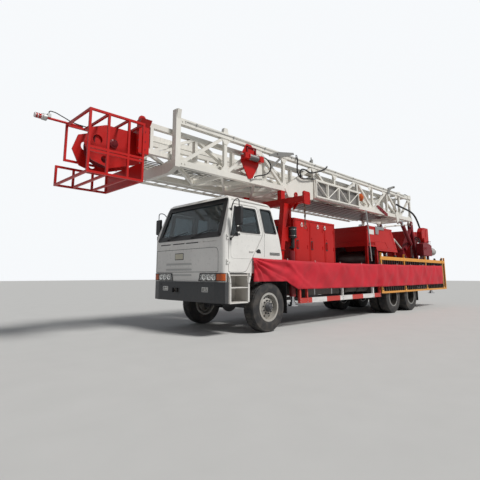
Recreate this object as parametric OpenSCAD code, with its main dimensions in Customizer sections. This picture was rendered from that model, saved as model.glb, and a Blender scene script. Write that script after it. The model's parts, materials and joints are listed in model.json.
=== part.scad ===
// Truck-mounted workover rig with its two-section mast laid forward over the cab.
// X points forward, Y to the left and Z up. Inside the modules, X is counted from the
// front axle, and on_truck() moves everything so that the origin lies on the ground at
// the middle of the rig.

/* [Wheels and axles] */
// Front axle to the first rear axle
wheelbase = 6260; // [6100:10:6400]
// Distance between the two rear axles
bogie = 1430; // [1350:10:1500]
// Outer radius of a tyre
tyre_r = 535; // [520:1:545]
// Width of a tyre
tyre_w = 300; // [280:1:310]
// Width over the outer tyres
tyre_span = 2480; // [2440:10:2490]
// Radius of the rim under the tyre
rim_r = 290; // [270:1:300]
// Distance between the centres of twin tyres
twin_pitch = 335; // [330:1:345]
// Distance of a kingpin inside the middle of its front tyre
king_offset = 190; // [185:1:200]
// Radius of a front stub axle
spindle_r = 45; // [40:1:50]
// Radius of a rear stub axle
rear_spindle_r = 60; // [55:1:65]
// Radial running clearance of a hub, pin or ram
run_gap = 0.3; // [0.2:0.1:0.5]

/* [Chassis] */
// Front end of the frame rails
frame_front = 1200; // [1150:10:1220]
// Rear end of the frame rails
frame_rear = -10900; // [-11000:10:-10800]
// Distance of a rail's outer face from the middle plane
rail_y = 430; // [420:1:440]
// Underside of the frame rails
rail_z = 800; // [790:1:810]
// Height of a frame rail
rail_h = 300; // [290:1:310]
// Height of the deck's upper face
deck_z = 1220; // [1210:1:1240]
// Thickness of the deck plate
deck_t = 40; // [20:1:50]
// Distance of the deck's edge from the middle plane
deck_y = 1200; // [1190:1:1205]
// Distance of the vehicle's side from the middle plane
side_y = 1250; // [1245:1:1260]
// Rear end of the deck
deck_rear = -10950; // [-11050:10:-10900]

/* [Cab] */
// Front plane of the cab
cab_front = 1370; // [1360:1:1380]
// Back of the cab at its floor
cab_rear = -450; // [-470:1:-440]
// Underside of the cab
cab_floor_z = 1270; // [1265:1:1280]
// Highest point of the cab roof
cab_top_z = 2940; // [2920:1:2960]
// Thickness of the cab's walls and doors
cab_wall = 45; // [40:1:50]
// Gap round a cab door
door_gap = 12; // [10:1:14]
// Thickness of a window pane
pane_t = 8; // [6:1:10]

/* [Cabinets] */
// Front face of the engine cabinet
engine_front = -1200; // [-1210:1:-1190]
// Rear face of the engine cabinet
engine_rear = -3080; // [-3150:10:-3050]
// Distance of the cabinet sides from the middle plane
cabinet_y = 1030; // [1020:1:1040]
// Top of the engine cabinet
cabinet_top = 2660; // [2640:1:2680]
// Thickness of cabinet walls and doors
cabinet_wall = 30; // [25:1:35]
// Front face of the drawworks house
house_front = -4950; // [-5000:10:-4900]
// Half width of the drawworks house
house_y = 1070; // [1060:1:1080]
// Top of the drawworks house
house_top = 2800; // [2780:1:2820]

/* [Mast] */
// Height of the mast pivot
pivot_z = 3300; // [3290:1:3305]
// Mast pivot behind the front axle
pivot_x = -9540; // [-9560:1:-9520]
// Front end of the lower mast section
mast_front = 2100; // [2000:10:2150]
// Rear end of the lower mast section
mast_rear = -9640; // [-9645:1:-9630]
// Distance of the mast side frames from the middle plane
mast_y = 650; // [640:1:660]
// Underside of the lower mast section
mast_z = 3420; // [3415:1:3425]
// Height of the lower mast section
mast_h = 1030; // [1000:10:1050]
// Height of a chord of the lower section
chord_h = 130; // [120:1:140]
// Width of a chord of the lower section
chord_w = 120; // [110:1:130]
// Distance of the upper section's side frames from the middle plane
inner_y = 470; // [450:1:480]
// Underside of the upper section
inner_z = 3590; // [3580:1:3600]
// Height of the upper section
inner_h = 640; // [600:1:660]
// Thickness of a chord of the upper section
inner_chord = 100; // [90:1:110]
// Front end of the upper section
inner_front = 2720; // [2700:10:2740]
// Rear end of the upper section
inner_rear = -8600; // [-8700:10:-8300]
// Height of the mast rest's beam
rest_z = 3100; // [3080:1:3120]

/* [Raising cylinders] */
// Distance of the raising cylinders from the middle plane
ram_y = 850; // [845:1:870]
// Base pin of a cylinder, forward of the mast pivot
ram_base_x = 600; // [580:1:620]
// Base pin of a cylinder, below the mast pivot
ram_base_z = 850; // [840:1:860]
// Rod pin of a cylinder, forward of the mast pivot
ram_eye_x = 1350; // [1330:1:1370]
// Rod pin of a cylinder, below the mast pivot
ram_eye_z = 50; // [40:1:60]
// Outer radius of a cylinder barrel
barrel_r = 75; // [70:1:78]

/* [Jacks] */
// Underside of a raised jack foot
foot_z = 500; // [480:10:540]
// Radius of a jack foot
foot_r = 130; // [110:1:140]
// Radius of a jack's leg
leg_r = 50; // [45:1:55]

/* [Crown and beacon] */
// Tube size of the crown guard
guard_t = 40; // [35:1:50]
// Half width of the crown guard
guard_y = 750; // [740:1:760]
// Radius of a crown sheave
sheave_r = 330; // [310:1:340]
// Front of the crown guard ahead of the front axle
guard_front = 3980; // [3960:10:4000]
// Reach of the beacon ahead of the crown guard
beacon_reach = 600; // [520:10:620]

/* [Side guards] */
// Lower edge of the side guards
side_guard_z = 560; // [540:5:600]
// Height of their rail
side_guard_h = 120; // [100:5:130]
// Clearance between their rear end and the first rear tyre
side_guard_gap = 375; // [300:5:400]

/* [Platforms and cloth] */
// Rear end of the folded platforms
platform_rear = -11300; // [-11350:10:-11250]
// Front end of the folded platforms
platform_front = -5400; // [-5450:10:-5380]
// Thickness of the folded platforms
platform_t = 50; // [45:1:50]
// Thickness of the hanging cloth
cloth_t = 12; // [8:1:15]

/* [Hidden] */
$fn = 48;
touch = 0.3;
beacon_x = guard_front + beacon_reach;
origin_x = -(beacon_x + platform_rear) / 2;
track_y = tyre_span / 2 - tyre_w / 2;
king_y = track_y - king_offset;
twin_y = track_y - twin_pitch;
rear_axles_x = [-wheelbase, -wheelbase - bogie];
mast_top = mast_z + mast_h;
mast_in = mast_y - chord_w / 2;
mast_out = mast_y + chord_w / 2;
cab_window_z = 1990;
belt_y = side_y;
roof_y = side_y - 150;
hinge_x = 1262;
hinge_y = side_y + 12;
ram_len = norm([ram_eye_x - ram_base_x, ram_base_z - ram_eye_z]);
ram_tilt = atan2(ram_base_z - ram_eye_z, ram_eye_x - ram_base_x);
// Jack positions: x, y
jack_front = [-1010, 1100];
jack_back = [-10480, 950];
// Posts of the mast's side frames: x, top above the chord, width
mast_posts = [[820, 120, 90], [-255, 0, 330], [-1290, 0, 80], [-2670, 0, 80], [-3800, 0, 80],
    [-5200, 0, 80], [-6290, 0, 80], [-7450, 0, 80], [-8560, 0, 90], [-9590, 0, 100]];
white = [0.88, 0.87, 0.83];
cream = [0.87, 0.85, 0.78];
red = [0.72, 0.10, 0.09];
dark_red = [0.42, 0.05, 0.08];
cloth_red = [0.80, 0.12, 0.18];
yellow = [0.88, 0.56, 0.12];
black = [0.06, 0.06, 0.07];
grey = [0.30, 0.31, 0.33];
silver = [0.62, 0.62, 0.60];
glass = [0.25, 0.30, 0.33, 0.6];

// Moves a point of an outline towards a centre by t along both axes
function inward(p, c, t) = [p[0] + sign(c[0] - p[0]) * t, p[1] + sign(c[1] - p[1]) * t];
function inset(outline, c, t) = [for (p = outline) inward(p, c, t)];

// The corners of an outline made round: each one starts and ends at its distance in list d
soft_steps = 5;
function softened(outline, d) = let (n = len(outline)) [for (i = [0:n - 1])
    let (b = outline[i], to_a = outline[(i + n - 1) % n] - b, to_c = outline[(i + 1) % n] - b,
        u = to_a / norm(to_a) * d[i], v = to_c / norm(to_c) * d[i])
    each (d[i] == 0 ? [b] : [for (k = [0:soft_steps]) let (t = k / soft_steps)
        b + u * (1 - t) * (1 - t) + v * t * t])];

module on_truck() translate([origin_x, 0, 0]) children();
module both_sides() {
    children();
    mirror([0, 1, 0]) children();
}
// A box from its low corner to its high corner
module block(low, high) translate(low) cube(high - low);
// A straight member in a flat frame, from p to q with width w
module member(p, q, w) translate(p) rotate(atan2(q[1] - p[1], q[0] - p[0]))
    translate([0, -w / 2]) square([norm(q - p), w]);
// A flat frame drawn in X and Z, standing from y_low to y_high
module upright(y_low, y_high) translate([0, y_high, 0]) rotate([90, 0, 0])
    linear_extrude(y_high - y_low) children();
// A flat frame drawn in Y and Z, standing from x_low to x_high
module crosswise(x_low, x_high) translate([x_low, 0, 0]) rotate([90, 0, 90])
    linear_extrude(x_high - x_low) children();
// A flat frame drawn in X and Y, lying from z_low to z_high
module lying(z_low, z_high) translate([0, 0, z_low]) linear_extrude(z_high - z_low) children();
// A round bar along Y
module bar_y(x, z, y_low, y_high, r) translate([x, y_high, z]) rotate([90, 0, 0])
    cylinder(h = y_high - y_low, r = r);
// A round bar along X
module bar_x(y, z, x_low, x_high, r) translate([x_low, y, z]) rotate([0, 90, 0])
    cylinder(h = x_high - x_low, r = r);
// A round bar between any two points
module rod(p, q, r) {
    d = q - p;
    translate(p) rotate([0, acos(d[2] / norm(d)), atan2(d[1], d[0])]) cylinder(h = norm(d), r = r);
}

// Wheels

shoulder_r = 45;
bead_w = tyre_w - 40;
groove_w = 14;
groove_d = 12;
rim_t = 22;
lip_h = 22;
lip_t = 12;
drum_r = 205;
wheel_nose = 75;

module tyre_profile() difference() {
    union() {
        translate([rim_r, -bead_w / 2]) square([lip_h + 20, bead_w]);
        translate([rim_r + lip_h, -tyre_w / 2])
            square([tyre_r - shoulder_r - rim_r - lip_h, tyre_w]);
        translate([rim_r, -tyre_w / 2 + shoulder_r])
            square([tyre_r - rim_r, tyre_w - 2 * shoulder_r]);
        for (s = [-1, 1]) translate([tyre_r - shoulder_r, s * (tyre_w / 2 - shoulder_r)])
            circle(shoulder_r);
    }
    for (g = [-70, 0, 70]) translate([tyre_r - groove_d, g - groove_w / 2])
        square([groove_d * 2, groove_w]);
}
// A tyre with its axis along Y
module tyre_ring(y) translate([0, y, tyre_r]) rotate([90, 0, 0]) rotate_extrude() tyre_profile();

// The rim's barrel, with its two lips
module rim_barrel(y) translate([0, y, tyre_r]) rotate([-90, 0, 0]) rotate_extrude() {
    translate([rim_r - touch - rim_t, -bead_w / 2 - lip_t]) square([rim_t, bead_w + 2 * lip_t]);
    for (s = [-1, 1]) translate([rim_r - rim_t, s * (bead_w / 2 + lip_t / 2) - lip_t / 2 + s * touch])
        square([rim_t + lip_h, lip_t]);
}
// The dished disc, from the barrel at y_rim to the hub at y_hub
module wheel_disc(y_rim, y_hub) difference() {
    translate([0, 0, tyre_r]) rotate([-90, 0, 0]) rotate_extrude() polygon([
        [rim_r - touch - rim_t, y_rim], [rim_r - touch - rim_t, y_rim + 14],
        [165, y_hub + 14], [80, y_hub + 14], [80, y_hub], [160, y_hub]]);
    for (a = [22.5:45:359]) translate([0, 0, tyre_r]) rotate([0, a, 0])
        bar_y(212, 0, min(y_rim, y_hub) - 20, max(y_rim, y_hub) + 40, 26);
}
module brake_drum(y_low, y_high) difference() {
    bar_y(0, tyre_r, y_low, y_high, drum_r);
    bar_y(0, tyre_r, y_low - 1, y_high - 15, drum_r - 15);
}
module front_tyre(x) on_truck() translate([x, 0, 0]) tyre_ring(track_y);
module front_rim(x) on_truck() translate([x, 0, 0]) {
    rim_barrel(track_y);
    wheel_disc(track_y + 20, track_y + wheel_nose);
    difference() {
        union() {
            bar_y(0, tyre_r, track_y - 40, track_y + wheel_nose + 1, 90);
            bar_y(0, tyre_r, track_y + wheel_nose, track_y + wheel_nose + 40, 112);
            bar_y(0, tyre_r, track_y + wheel_nose + 39, track_y + wheel_nose + 68, 72);
        }
        bar_y(0, tyre_r, track_y - 41, track_y + 55, spindle_r + run_gap);
    }
    difference() {
        brake_drum(track_y - 125, track_y + 20);
        bar_y(0, tyre_r, track_y - 60, track_y + 60, 89);
    }
}
module rear_tyres(x) on_truck() translate([x, 0, 0]) {
    tyre_ring(track_y);
    tyre_ring(twin_y);
}
module rear_rims(x) on_truck() translate([x, 0, 0]) {
    mid = (track_y + twin_y) / 2;
    rim_barrel(track_y);
    rim_barrel(twin_y);
    wheel_disc(track_y - 60, mid);
    wheel_disc(twin_y + 46, mid - 14);
    difference() {
        union() {
            bar_y(0, tyre_r, twin_y - 60, track_y - 80, 110);
            bar_y(0, tyre_r, track_y - 81, track_y - 10, 78);
        }
        bar_y(0, tyre_r, twin_y - 61, track_y - 90, rear_spindle_r + run_gap);
    }
    difference() {
        brake_drum(twin_y - 120, mid - 12);
        bar_y(0, tyre_r, twin_y - 119, track_y, 109);
    }
}

module tyre_front_left() color(black) front_tyre(0);
module tyre_front_right() color(black) mirror([0, 1, 0]) front_tyre(0);
module rim_front_left() color(silver) front_rim(0);
module rim_front_right() color(silver) mirror([0, 1, 0]) front_rim(0);
module tyre_middle_left() color(black) rear_tyres(rear_axles_x[0]);
module tyre_middle_right() color(black) mirror([0, 1, 0]) rear_tyres(rear_axles_x[0]);
module rim_middle_left() color(silver) rear_rims(rear_axles_x[0]);
module rim_middle_right() color(silver) mirror([0, 1, 0]) rear_rims(rear_axles_x[0]);
module tyre_rear_left() color(black) rear_tyres(rear_axles_x[1]);
module tyre_rear_right() color(black) mirror([0, 1, 0]) rear_tyres(rear_axles_x[1]);
module rim_rear_left() color(silver) rear_rims(rear_axles_x[1]);
module rim_rear_right() color(silver) mirror([0, 1, 0]) rear_rims(rear_axles_x[1]);

// Axles, knuckles and springs

shaft_z = tyre_r + 40;
fork_gap = 95;
fork_t = 30;
king_r = 25;
seat_low = 360;
seat_high = 440;

module fork() difference() {
    union() {
        block([-55, 790, tyre_r - fork_gap - fork_t], [55, 825, tyre_r + fork_gap + fork_t]);
        for (z = [tyre_r - fork_gap - fork_t, tyre_r + fork_gap])
            block([-55, king_y - 110, z], [55, king_y + 35, z + fork_t]);
    }
    translate([0, king_y, 0]) cylinder(h = 2 * tyre_r, r = king_r + run_gap);
}
module front_axle() {
    bar_y(0, tyre_r, 100 - king_y, king_y - 100, 62);
    translate([0, -60, tyre_r]) rotate([0, 0, 45]) sphere(175);
    bar_x(-60, shaft_z, -200, 0, 55);
    both_sides() fork();
    both_sides() block([-90, seat_low, tyre_r + 40], [90, seat_high, tyre_r + 100]);
}
module rear_axle(x) translate([x, 0, 0]) {
    bar_y(0, tyre_r, -650, 650, 75);
    bar_y(0, tyre_r, -track_y + 95, track_y - 95, rear_spindle_r);
    translate([0, -60, tyre_r]) rotate([0, 0, 45]) sphere(195);
    both_sides() bar_y(0, tyre_r, 640, 655, drum_r - 25);
    bar_x(-60, shaft_z, -215, 215, 60);
    both_sides() block([-saddle_half, seat_low, tyre_r + 50], [saddle_half, seat_high, saddle_z]);
}
module axles() color(grey) on_truck() {
    front_axle();
    for (x = rear_axles_x) rear_axle(x);
    drive_shafts();
}
module knuckle() on_truck() {
    block([-45, king_y - 55, tyre_r - fork_gap + 8], [45, king_y + 55, tyre_r + fork_gap - 8]);
    translate([0, king_y, tyre_r - fork_gap - fork_t]) cylinder(h = 2 * (fork_gap + fork_t), r = king_r);
    bar_y(0, tyre_r, king_y, track_y + 45, spindle_r);
    block([-220, king_y - 35, tyre_r - 70], [-40, king_y - 5, tyre_r - 40]);
}
module knuckle_left() color(grey) knuckle();
module knuckle_right() color(grey) mirror([0, 1, 0]) knuckle();

// A leaf spring pack under a rail: half length, thickness of a leaf, number of leaves and the
// height of its ends above its middle
leaf_step = 0.22;
module leaf_pack(half, leaf_t, leaves, sag) upright(seat_low, seat_high) {
    top = [for (i = [-8:8]) [half * i / 8, sag * pow(i / 8, 2)]];
    ends = [for (k = [0:leaves - 1]) [1 - leaf_step * k, leaf_t * k]];
    right = [for (e = ends) each [[half * e[0], sag * e[0] * e[0] - e[1]],
        [half * e[0], sag * e[0] * e[0] - e[1] - leaf_t]]];
    left = [for (i = [2 * leaves - 1:-1:1]) [-right[i][0], right[i][1]]];
    polygon(concat(top, [for (i = [1:2 * leaves - 1]) right[i]], [[0, -leaf_t * leaves]], left));
}
front_leaf_t = 20;
rear_leaf_t = 25;
rear_leaf_half = bogie / 2 + 60;
saddle_z = tyre_r + 110;
saddle_half = 40;
rear_leaf_drop = (rail_z - rear_leaf_t - saddle_z - 10 * touch) / pow((bogie / 2 + saddle_half) / rear_leaf_half, 2);
module leaf_springs() color(black) on_truck() both_sides() {
    translate([0, 0, tyre_r + 100 + 3 * front_leaf_t + touch]) leaf_pack(620, front_leaf_t, 3, 90);
    for (x = [-640, 640]) block([x - 40, seat_low, tyre_r + 220], [x + 40, seat_high, rail_z - touch]);
    translate([-wheelbase - bogie / 2, 0, rail_z - touch])
        leaf_pack(rear_leaf_half, rear_leaf_t, 4, -rear_leaf_drop);
}
module drive_shafts() {
    bar_x(-60, shaft_z, -2881, -200 - touch, 45);
    bar_x(-60, shaft_z, -wheelbase + 215 + touch, -3419, 50);
    bar_x(-60, shaft_z, -wheelbase - bogie + 215 + touch, -wheelbase - 215 - touch, 45);
    block([-3420, -260, 480], [-2880, 200, rail_z + 60]);
}

// Chassis

rail_web = 14;
rail_flange = 90;
// Cross members: x of the centre
cross_x = [1080, -700, -2000, -3150, -5300, -6975, -8700, -10500];
module chassis_frame() color(black) on_truck() {
    both_sides() crosswise(frame_rear, frame_front) polygon([
        [rail_y, rail_z], [rail_y, rail_z + rail_h], [rail_y - rail_flange, rail_z + rail_h],
        [rail_y - rail_flange, rail_z + rail_h - rail_web], [rail_y - rail_web, rail_z + rail_h - rail_web],
        [rail_y - rail_web, rail_z + rail_web], [rail_y - rail_flange, rail_z + rail_web],
        [rail_y - rail_flange, rail_z]]);
    both_sides() block([frame_front, rail_y - rail_flange, 850], [bumper_x - 60, rail_y, 950]);
    for (x = cross_x) block([x - 45, -rail_y + rail_web, rail_z + 60],
        [x + 45, rail_y - rail_web, rail_z + rail_h - 60]);
    difference() {
        block([frame_rear - 40, -480, rail_z - 40], [frame_rear, 480, rail_z + rail_h]);
        bar_x(0, rail_z + 120, frame_rear - 41, frame_rear + 1, 40);
    }
}
deck_front = -620;
// Bearers under the deck: x of the centre
bearer_x = [-750, -2000, -3200, -4400, -5400, -6975, -8500, -9500, -10850];
module deck() color(dark_red) on_truck() {
    lying(deck_z - deck_t, deck_z) difference() {
        translate([deck_rear, -deck_y]) square([deck_front - deck_rear, 2 * deck_y]);
        for (at = [jack_front, jack_back], s = [-1, 1]) translate([at[0], s * at[1]])
            circle(jack_r + run_gap);
    }
    for (x = bearer_x) block([x - 50, -deck_y, rail_z + rail_h], [x + 50, deck_y, deck_z - deck_t]);
    both_sides() block([deck_rear, deck_y, rail_z + rail_h], [deck_front, side_y, deck_z]);
}
module engine_block() color(grey) on_truck() block([-2850, -400, deck_z], [-1600, 400, 2250]);
module fuel_tanks() color(black) on_truck() both_sides()
    difference() {
        block([-3100, 520, 730], [-1500, 1120, rail_z + rail_h]);
        for (x = [-2700, -1900]) block([x - 25, 500, 720], [x + 25, 1130, 740]);
    }
side_guard_front = -1100;
side_guard_rear = -wheelbase + tyre_r + side_guard_gap;
// Post at x, that starts a rise above the guard's lower edge
module guard_post(x, rise, width) member([x, side_guard_z + rise], [x, rail_z + rail_h], width);
module side_guards() color(red) on_truck() both_sides() {
    upright(side_y - 60, side_y) {
        translate([side_guard_rear, side_guard_z]) square([side_guard_front - side_guard_rear, side_guard_h]);
        for (x = [side_guard_front - 30, side_guard_rear + 50]) guard_post(x, 0, 60);
        for (x = [side_guard_front - 320, side_guard_front - 1980]) guard_post(x, 100, 40);
        guard_post(side_guard_rear + 500, 100, 60);
    }
}

// Cab

cab_centre = [400, 2050];
cab_corner = 110;
cab_side = softened([[cab_front, cab_floor_z], [cab_front, cab_window_z], [1080, 2870], [1030, cab_top_z],
    [-150, 2860], [-215, 2790], [-330, 2160], [cab_rear, 1670], [cab_rear, cab_floor_z]],
    [0, 50, 25, 35, 30, 30, 60, 60, 0]);
cab_section = softened([[-belt_y, cab_floor_z - 300], [-belt_y, 2100], [-roof_y, 2830],
    [-roof_y + 130, cab_top_z], [roof_y - 130, cab_top_z], [roof_y, 2830], [belt_y, 2100],
    [belt_y, cab_floor_z - 300]], [0, 90, 60, 60, 60, 60, 90, 0]);
cab_plan = softened([[cab_rear - 300, -side_y], [cab_front, -side_y], [cab_front, side_y],
    [cab_rear - 300, side_y]], [0, cab_corner, cab_corner, 0]);
door_centre = [900, 2115];
door_edge = softened([[1250, cab_floor_z + 10], [1250, 2010], [1010, 2745], [262, 2745], [190, 2110],
    [745, cab_floor_z + 10]], [40, 60, 60, 60, 90, 90]);
// Door window and its front quarter light, x and z
door_window = softened([[905, 2130], [880, 2680], [325, 2680], [290, 2130]], [30, 30, 50, 50]);
door_quarter = softened([[1195, 2040], [985, 2680], [955, 2680], [980, 2040]], [30, 8, 8, 20]);
side_window = softened([[126, 2165], [170, 2710], [-190, 2710], [-275, 2165]], [40, 40, 50, 50]);
screen = softened([[-1080, 2050], [-985, 2790], [985, 2790], [1080, 2050]], [60, 60, 60, 60]);
rear_window = softened([[-750, 2150], [-750, 2650], [750, 2650], [750, 2150]], [60, 60, 60, 60]);

module cab_form(t) intersection() {
    upright(-belt_y, belt_y) polygon(inset(cab_side, cab_centre, t));
    crosswise(-600, 1500) polygon(inset(cab_section, [0, 2000], t));
    lying(cab_floor_z - 200, cab_top_z + 100) polygon(inset(cab_plan, cab_centre, t));
}
module side_cut(outline) upright(600, 1400) polygon(outline);
// The space between the cab's side walls
module between_walls(t = cab_wall) crosswise(-700, 1600) polygon(inset(cab_section, [0, 2000], t));
module cab_windows() {
    crosswise(700, 1500) polygon(screen);
    crosswise(-600, 0) polygon(rear_window);
    both_sides() side_cut(side_window);
}
module cab_shell() color(white) on_truck() {
    difference() {
        cab_form(0);
        cab_form(cab_wall);
        cab_windows();
        both_sides() difference() {
            side_cut(door_edge);
            between_walls();
        }
        both_sides() crosswise(cab_front - 20, cab_front + 20)
            for (k = [0:2]) translate([-1020 + 500 * k, 1915]) square([420, 25]);
        for (k = [0:2]) crosswise(cab_front - 8, cab_front + 20)
            translate([-750, 1220 + 120 * k]) square([950, 45]);
    }
    // The apron that holds the headlamps
    intersection() {
        block([cab_front - cab_corner, -side_y, 1090], [cab_front, side_y, cab_floor_z + 1]);
        lying(1000, cab_floor_z + 100) difference() {
            polygon(cab_plan);
            polygon(inset(cab_plan, cab_centre, 70));
        }
    }
    both_sides() for (z = hinge_z) cab_hinge(z);
}
hinge_pin_r = 6;
hinge_z = [1500, 2000];
// Heights of the mirror's arms on the door
mirror_arm_z = [1960, 2060];
hinge_h = 30;
module cab_hinge(z) {
    translate([hinge_x, hinge_y, z - 1.5 * hinge_h]) cylinder(h = 3 * hinge_h, r = hinge_pin_r);
    for (s = [-1.5, 0.5]) {
        translate([hinge_x, hinge_y, z + s * hinge_h]) cylinder(h = hinge_h, r = 12);
        block([hinge_x, side_y - 20, z + s * hinge_h], [hinge_x + 45, side_y + 20, z + (s + 1) * hinge_h]);
    }
}
module door_hinge(z) difference() {
    union() {
        translate([hinge_x, hinge_y, z - hinge_h / 2 + touch]) cylinder(h = hinge_h - 2 * touch, r = 12);
        block([hinge_x - 60, side_y, z - hinge_h / 2 + touch], [hinge_x, side_y + 20, z + hinge_h / 2 - touch]);
    }
    translate([hinge_x, hinge_y, z - hinge_h]) cylinder(h = 2 * hinge_h, r = hinge_pin_r + touch);
}
module cab_pane_layer() difference() {
    cab_form(16);
    cab_form(16 + pane_t);
}
module cab_glass() color(glass) on_truck() intersection() {
    cab_pane_layer();
    cab_windows();
}
module seat() {
    block([-60, 300, 1700], [440, 800, 1830]);
    block([-160, 300, 1700], [-60, 800, 2400]);
    block([0, 400, cab_floor_z + cab_wall], [380, 700, 1700]);
}
module cab_interior() color(grey) on_truck() {
    both_sides() seat();
    block([1020, -1120, 1650], [cab_front - cab_wall - 15, 1120, cab_window_z - 40]);
    rod([1020, 550, 1800], [760, 550, 1990], 25);
    translate([760, 550, 1990]) rotate([0, -54, 0]) rotate_extrude() translate([210, 0]) circle(16);
    translate([760, 550, 1990]) rotate([0, -54, 0]) translate([-205, -18, -8]) cube([410, 36, 16]);
    block([860, 480, cab_floor_z + cab_wall], [1100, 620, 1700]);
}
module door_panel() on_truck() {
    difference() {
        intersection() {
            cab_form(0);
            side_cut(inset(door_edge, door_centre, door_gap));
        }
        between_walls(cab_wall - touch);
        side_cut(door_window);
        side_cut(door_quarter);
    }
    for (z = hinge_z) door_hinge(z);
}
module door_panes() on_truck() intersection() {
    cab_pane_layer();
    union() {
        side_cut(door_window);
        side_cut(door_quarter);
    }
}
// Mirror on two arms from the door's front edge, with the door's pull handle
module door_mirror() on_truck() {
    for (z = mirror_arm_z) {
        block([1165, side_y + touch, z - 20], [1215, side_y + 14, z + 20]);
        rod([1190, side_y + 13, z], [1150, 1430, z + 60], 10);
    }
    rod([1150, 1425, 2010], [1150, 1425, 2240], 12);
    translate([1150, 1450, 2425]) block([-35, -95, -195], [35, 95, 195]);
    block([640, side_y + touch, 1690], [760, side_y + 25, 1725]);
}
module door_left() color(white) door_panel();
module door_right() color(white) mirror([0, 1, 0]) door_panel();
module door_glass_left() color(glass) door_panes();
module door_glass_right() color(glass) mirror([0, 1, 0]) door_panes();
module mirror_left() color(black) door_mirror();
module mirror_right() color(black) mirror([0, 1, 0]) door_mirror();

bumper_x = 1400;
module bumper() color(grey) on_truck() difference() {
    lying(670, 1090) polygon([[bumper_x, -1000], [bumper_x, 1000], [bumper_x - 70, side_y],
        [1230, side_y], [1230, side_y - 60], [bumper_x - 120, side_y - 60], [bumper_x - 60, 970],
        [bumper_x - 60, -970], [bumper_x - 120, -side_y + 60], [1230, -side_y + 60], [1230, -side_y],
        [bumper_x - 70, -side_y]]);
    block([bumper_x - 100, -450, 850], [bumper_x + 10, -200, 950]);
    both_sides() block([bumper_x - 40, 620, 890], [bumper_x + 10, 800, 970]);
}
lamp_t = 12;
module lamps() color(silver) on_truck() both_sides() {
    intersection() {
        crosswise(cab_front - cab_corner, cab_front + lamp_t) polygon([[470, 1108], [540, 1265], [1290, 1265],
            [1290, 1108]]);
        lying(1000, 1400) difference() {
            polygon(inset(cab_plan, cab_centre, -lamp_t));
            polygon(cab_plan);
        }
    }
    block([bumper_x - 40, 620, 890], [bumper_x - 5, 800, 970]);
    block([deck_rear - 30, 850, deck_z - 120], [deck_rear, 1150, deck_z]);
}
module step_wells() color(grey) on_truck() both_sides() {
    // z of each step's upper face
    for (z = [690, 985, 1240]) block([665, 880, z - 25], [1230, side_y - 5, z]);
    block([665, 850, 665], [1230, 880, cab_floor_z]);
    for (x = [665, 1205]) block([x, 880, 665], [x + 25, side_y - 5, cab_floor_z]);
}

// Cabinets and deck machinery

door_table = [[-1215, -1820], [-1840, -2520], [-2540, -3060]];
// Red frame left round each door opening
door_margin = 40;
cabinet_door_low = deck_z + 60;
cabinet_door_high = cabinet_top - 60;
// The cabinet's plates stand a hair apart: two sides with door openings, a front with its
// grille opening, a back and a roof
cabinet_in = cabinet_y - cabinet_wall;
module engine_cabinet() color(red) on_truck() {
    both_sides() upright(cabinet_in, cabinet_y) difference() {
        translate([engine_rear, deck_z]) square([engine_front - engine_rear, cabinet_top - deck_z]);
        for (d = door_table) translate([d[1] + door_margin, cabinet_door_low])
            square([d[0] - d[1] - 2 * door_margin, cabinet_door_high - cabinet_door_low]);
    }
    block([engine_rear, -cabinet_in + touch, cabinet_top - cabinet_wall],
        [engine_front, cabinet_in - touch, cabinet_top]);
    block([engine_rear, -cabinet_in + touch, deck_z],
        [engine_rear + cabinet_wall, cabinet_in - touch, cabinet_top - cabinet_wall - touch]);
    crosswise(engine_front - cabinet_wall, engine_front) difference() {
        translate([-cabinet_in + touch, deck_z])
            square([2 * (cabinet_in - touch), cabinet_top - cabinet_wall - touch - deck_z]);
        translate([-600, 1700]) square([1200, 800]);
    }
}
module cabinet_door_row() on_truck() for (d = door_table) {
    block([d[1] + door_margin + touch, cabinet_in, cabinet_door_low + touch],
        [d[0] - door_margin - touch, cabinet_y + 10, cabinet_door_high - touch]);
    translate([d[0] - 130, cabinet_y + 10, 2000]) block([-12, 0, -90], [12, 30, 90]);
}
module cabinet_doors() color(red) both_sides() cabinet_door_row();
house_low = 2150;
house_eave = 2030;
house_side = [[house_front, house_top], [-6770, house_top], [-7200, house_eave], [-5620, house_eave],
    [-5570, house_low], [house_front, house_low]];
// The slanted back between the roof and the eave
house_back = [[-6787, house_top - cabinet_wall - touch], [-7200, house_eave], [-7166, house_eave],
    [-6753, house_top - cabinet_wall - touch]];
house_in = house_y - cabinet_wall;
// Legs of the house: x of the middle, height of the top
house_legs = [[-5040, 2180], [-5700, 2060], [-7050, 2060]];
module drawworks_house() color(red) on_truck() {
    both_sides() upright(house_in, house_y) polygon(house_side);
    block([-6770, -house_in + touch, house_top - cabinet_wall], [house_front, house_in - touch, house_top]);
    block([house_front - cabinet_wall, -house_in + touch, house_low],
        [house_front, house_in - touch, house_top - cabinet_wall - touch]);
    upright(-house_in + touch, house_in - touch) polygon(house_back);
    both_sides() for (leg = house_legs) block([leg[0] - 40, house_y - 110, deck_z],
        [leg[0] + 40, house_in - touch, leg[1]]);
}
drum_x = -6200;
drum_z = 1800;
module drawworks_drum() color(grey) on_truck() {
    bar_y(drum_x, drum_z, -600, 600, 260);
    both_sides() {
        bar_y(drum_x, drum_z, 600, 640, 480);
        bar_y(drum_x, drum_z, 640, 760, 80);
        upright(760, 830) polygon([[drum_x - 300, deck_z], [drum_x - 90, 1950], [drum_x + 90, 1950],
            [drum_x + 300, deck_z]]);
    }
}

// Mast rest, base frame and jacks

rest_half = 90;
rest_end_y = 1420;
leg_y = [835, 975];
lug_y = [1110, 1370];
lug_z = rest_z + 150;
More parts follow.
